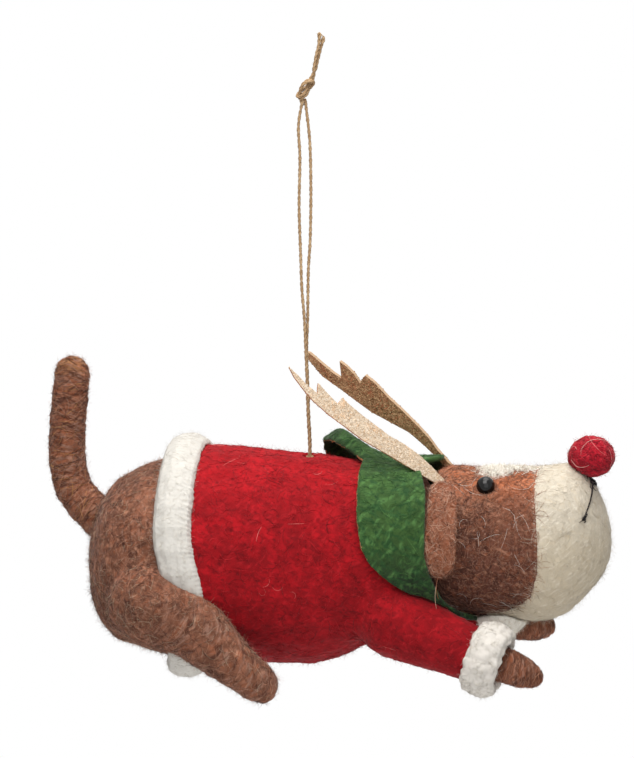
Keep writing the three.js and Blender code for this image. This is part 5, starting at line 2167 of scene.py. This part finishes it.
    def fibres(self, skin: Strewer) -> None:
        """Strews the brown and the cream fibres over the face, some of them across the border.

        Args:
            skin: the face.
        """
        skin.strew(
            "head_fibres", "brown_wool", mixed(DARK=4, BROWN=4, RUST=2, GREY_TAN=1.5), 91,
            (self.brown_laid, self.brown),
        )
        skin.strew(
            "head_fibres_warm", "brown_wool", mixed(TAN=3, RUST=2, GREY_TAN=2, DARK=2), 92,
            (self.warm_laid, self.upper), (self.brown_loose, self.brown),
        )
        skin.strew(
            "head_fibres_pale", "cream_wool", mixed(SNOW=3, CREAM=1), 94,
            (self.pale_long, self.brown), (self.tuft_laid, partial(self.tufted, skin=skin)),
        )
        skin.strew(
            "muzzle_fibres", "cream_wool", mixed(CREAM=5, STRAW=2, CHALK=1), 96,
            (self.cream_laid, self.cream), (self.cream_loose, self.cream),
        )

    def throat(self) -> None:
        """Makes the cream throat with its fibres."""
        fleece = Fleece.of("throat_wool", "throat").remesh(self.voxel, 5).lumps((4.5, 0.2), (1.2, 0.14))
        throat = fleece.stuffed(THROAT_WOOL_LIT.make(), "cream_wool")
        Strewer(throat).strew(
            "throat_fibres", "cream_wool", mixed(SNOW=2, CREAM=1), 98,
            (self.throat_laid,), (self.throat_loose,),
        )

    def ear(self, side: str) -> None:
        """Makes a felt flap, the right one with two loose fibres at its tip.

        Args:
            side: the side that it is on.
        """
        fleece = Fleece.of(f"ear_wool_{side}", f"ear_{side}").remesh(self.ear_voxel, 5)
        fleece.lumps((4.5, 0.3), (1.2, 0.14))
        strewer = Strewer(fleece.stuffed(BROWN_EAR.make(), "brown_wool"))
        laid = [strewer.lay(self.ear_laid), strewer.lay(self.ear_loose)]
        if side == "right":
            laid.append(self.strays(strewer))
        fibres = Strewer.piece(f"ear_fibres_{side}", laid, mixed(TAN=3, RUST=3, DARK=1, BUFF=2), 103)
        settle(fibres)

    def strays(self, ear: Strewer) -> tuple:
        """Hangs loose fibres from an ear's tip.

        Args:
            ear: the ear.

        Returns:
            Their points, directions across them and radii.
        """
        share = np.linspace(0, 1, self.thread_joints)[:, None]
        across, down = self.ear_tip
        paths = []
        for shift, drop in self.stray_drops:
            root, _ = self.studio.cast(ear.tree, across + shift * 4, down)
            sway = np.array((-0.9, -0.6, 0.0)) * np.sin(share * 2.4 + shift)
            fall = np.array((0, 0, -1.0)) * share * drop
            paths.append(np.array(root) + (sway + fall) * MM)
        path = np.stack(paths)
        count = path.shape[:2]
        return path, np.tile((0.0, -1.0, 0.0), (*count, 1)), np.full(count, self.stray_radius * MM)

    def round_nose(self, _: Rows, normals: Rows) -> Rows:
        """Gives the way of the wool round the nose."""
        return np.cross(np.array(self.nose_axis), normals)

    def nose(self) -> None:
        """Makes the red wool nose with its wound threads."""
        fleece = Fleece.of("nose_ball", "nose").remesh(self.nose_voxel, 4).lumps((3.0, 0.35), (0.9, 0.16))
        strewer = Strewer(fleece.stuffed(RED_NOSE.make(), "nose_wool"))
        strewer.strew(
            "nose_fibres", "nose_wool", mixed(CHERRY=3, WINE=3, ROSE=1.5), 113,
            (self.nose_wound, None, self.round_nose), (self.nose_loose,),
        )
        strewer.strew("nose_threads", "nose_wool", mixed(BLUSH=2, CORAL=1), 115, (self.nose_threads,))

    def eye(self, side: str) -> None:
        """Makes a bead eye, flat behind.

        Args:
            side: the side that it is on.
        """
        low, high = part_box(f"eye_{side}")
        middle, radius = (low + high) / 2, (high - low).length / 2 / math.sqrt(3)
        bpy.ops.object.select_all(action="DESELECT")
        bpy.ops.mesh.primitive_uv_sphere_add(
            segments=self.eye_sides, ring_count=self.eye_sides // 2, radius=radius, location=middle
        )
        bead = bpy.context.active_object
        bead.name = f"bead_{side}"
        bpy.ops.object.transform_apply(location=True)
        outward = Vector((0, -1.0 if side == "right" else 1.0, 0))
        with editing(bead):
            cut = middle - outward * radius * self.eye_cut_share
            bpy.ops.mesh.bisect(
                plane_co=cut, plane_no=outward, use_fill=True, clear_inner=True, threshold=1e-6
            )
            bpy.ops.mesh.select_all(action="SELECT")
            bpy.ops.mesh.normals_make_consistent(inside=False)
        apply(bead, "BEVEL", width=self.eye_bevel * MM, segments=2, limit_method="ANGLE")
        glass = Plain("bead_black", (0.003, 0.003, 0.003, 1.0), 0.16, specular=0.28)
        bead.data.materials.append(glass.make())
        bead.data.polygons.foreach_set("use_smooth", [True] * len(bead.data.polygons))
        settle(bead, (f"eye_{side}",))

    def frayed(self, rng: np.random.Generator) -> list[tuple[float, tuple[Pixel, ...]]]:
        """Frays the mouth's thread.

        Args:
            rng: the random source.

        Returns:
            The radius and the pixels of each frayed end.
        """
        routes = []
        for (across, down), (right, below), spread, count in self.frays:
            for _ in range(count):
                tip = (right + rng.normal(0, spread / 2), below + rng.normal(0, spread / 2))
                half = ((across + tip[0]) / 2 + rng.normal(0, 1.0), (down + tip[1]) / 2 + rng.normal(0, 1.0))
                routes.append((self.fray_radius, ((across, down), half, tip)))
        return routes

    def mouth(self, muzzle: Piece) -> None:
        """Makes the stitched mouth of frayed black thread.

        Args:
            muzzle: the piece that it is sewn on.
        """
        tree = Strewer(muzzle).tree
        rng = np.random.default_rng(121)
        even = np.linspace(0, 1, self.thread_joints)
        taper = 1 - 0.5 * np.linspace(-1, 1, self.thread_joints) ** 4
        paths, ups, radii = [], [], []
        for radius, route in (*self.stitches, *self.frayed(rng)):
            hits = [self.studio.cast(tree, *pixel) for pixel in route]
            points = np.array([spot + normal * (radius + self.thread_lift) * MM for spot, normal in hits])
            share = np.linspace(0, 1, len(points))
            path = spaced(points, share, even)
            paths.append(path + rng.normal(0, self.thread_jitter * MM, path.shape))
            ups.append(unit(spaced(np.array([np.array(normal) for _, normal in hits]), share, even)))
            radii.append(radius * MM * taper)
        laid = [(np.stack(paths), np.stack(ups), np.stack(radii))]
        thread = Strewer.piece("mouth_thread", laid, mixed(BLACK=3, CHARCOAL=1), 122)
        settle(thread, ("mouth_stitch",))

    def build(self) -> None:
        """Makes the whole head."""
        muzzle = self.face()
        self.throat()
        for side in SIDES:
            self.ear(side)
        self.nose()
        for side in SIDES:
            self.eye(side)
        self.mouth(muzzle)


@dataclass
class Antlers:
    """The two antlers cut from glitter sheet, in mm."""

    grains: Crop = Crop(2600, thick=(0.12, 0.26), seed=131)
    tipped: float = 0.14
    sunk: float = 0.06
    bevel: float = 0.12
    cut_share: float = 0.7
    broad_share: float = 0.8
    near: Glitter = Glitter(
        "glitter_pale", ground=tint(190, 170, 146), light=tint(208, 192, 172), dark=tint(172, 148, 122),
        rust=tint(192, 158, 124), edge=tint(190, 120, 72),
    )
    # The far antler's glitter is darker and more orange than the near one's.
    far: Glitter = Glitter(
        "glitter_far_darker", ground=tint(160, 124, 88), light=tint(186, 152, 112), dark=tint(124, 96, 62),
        rust=tint(158, 92, 58), edge=tint(178, 150, 122),
    )

    def broad(self, _: Rows, normals: Rows, flat: Rows) -> Rows:
        """Gives 1 on the sheet's two broad faces."""
        return (np.abs(normals @ flat) > self.broad_share).astype(float)

    def sheet(self, side: str, finish: Glitter) -> None:
        """Makes an antler with its cut edge and glitter grains.

        Args:
            side: the side that it is on.
            finish: its glitter.
        """
        fleece = Fleece.of(f"antler_sheet_{side}", f"antler_{side}")
        apply(
            fleece.piece, "BEVEL", width=self.bevel * MM, segments=2, limit_method="ANGLE", angle_limit=0.9
        )
        piece = fleece.finish(finish.make())
        piece.data.materials.append(Plain(f"sheet_edge_{side}", finish.edge, 0.85).make())
        rows = places(piece)
        flat = np.linalg.svd(rows - rows.mean(axis=0), full_matrices=False)[2][2]
        for face in piece.data.polygons:
            face.material_index = 1 if abs(np.dot(face.normal, flat)) < self.cut_share else 0
            face.use_smooth = False
        settle(piece, fleece.nodes)
        rng = np.random.default_rng(self.grains.seed)
        at, normal = Strewer(piece).roots(self.grains, rng, partial(self.broad, flat=flat))
        settle(self.glitter(f"glitter_grains_{side}", at, normal, finish, rng))

    def glitter(
        self, name: str, at: Rows, normal: Rows, finish: Glitter, rng: np.random.Generator
    ) -> Piece:
        """Strews tipped grains, each a flat pyramid.

        Args:
            name: the piece's name.
            at: where the grains lie.
            normal: the sheet's normal at each.
            finish: the sheet's finish.
            rng: the random source.

        Returns:
            The object.
        """
        up = unit(normal + rng.normal(0, self.tipped, normal.shape))
        side = unit(np.cross(up, rng.normal(size=up.shape)))
        over = np.cross(up, side)
        size = rng.uniform(*self.grains.thick, (len(at), 1)) * MM
        angles = np.arange(4) * math.pi / 2
        base = at + normal * 0.02 * MM
        ring = [base + (side * math.cos(a) + over * math.sin(a)) * size for a in angles]
        crest = base + up * size * 0.45
        foot = base - normal * self.sunk * MM
        points = np.stack(ring + [crest, foot], axis=1)
        one = [(0, 1, 4), (1, 2, 4), (2, 3, 4), (3, 0, 4), (1, 0, 5), (2, 1, 5), (3, 2, 5), (0, 3, 5)]
        firsts = np.arange(len(at))[:, None, None] * 6
        faces = (firsts + np.array(one)[None]).reshape(-1, 3).tolist()
        piece = mesh_piece(name, points.reshape(-1, 3), faces, smooth=False)
        for number, colour in enumerate((finish.ground, finish.light, finish.dark, finish.rust)):
            piece.data.materials.append(Plain(f"{name}_{number}", colour, 0.45, 0.2).make())
        chosen = rng.choice(4, len(at), p=(0.42, 0.28, 0.18, 0.12))
        piece.data.polygons.foreach_set("material_index", np.repeat(chosen, len(one)).astype(np.int32))
        return piece

    def build(self) -> None:
        """Makes both antlers."""
        self.sheet("right", self.near)
        self.sheet("left", self.far)


def main() -> None:
    """Builds the studio and every piece."""
    logging.basicConfig(level=logging.INFO, format="%(name)s %(message)s")
    studio = Studio()
    studio.build()
    TwineLoop().build()
    Body().build()
    Coat().build()
    Collar().build()
    Head(studio).build()
    Antlers().build()


if __name__ == "__main__":
    main()
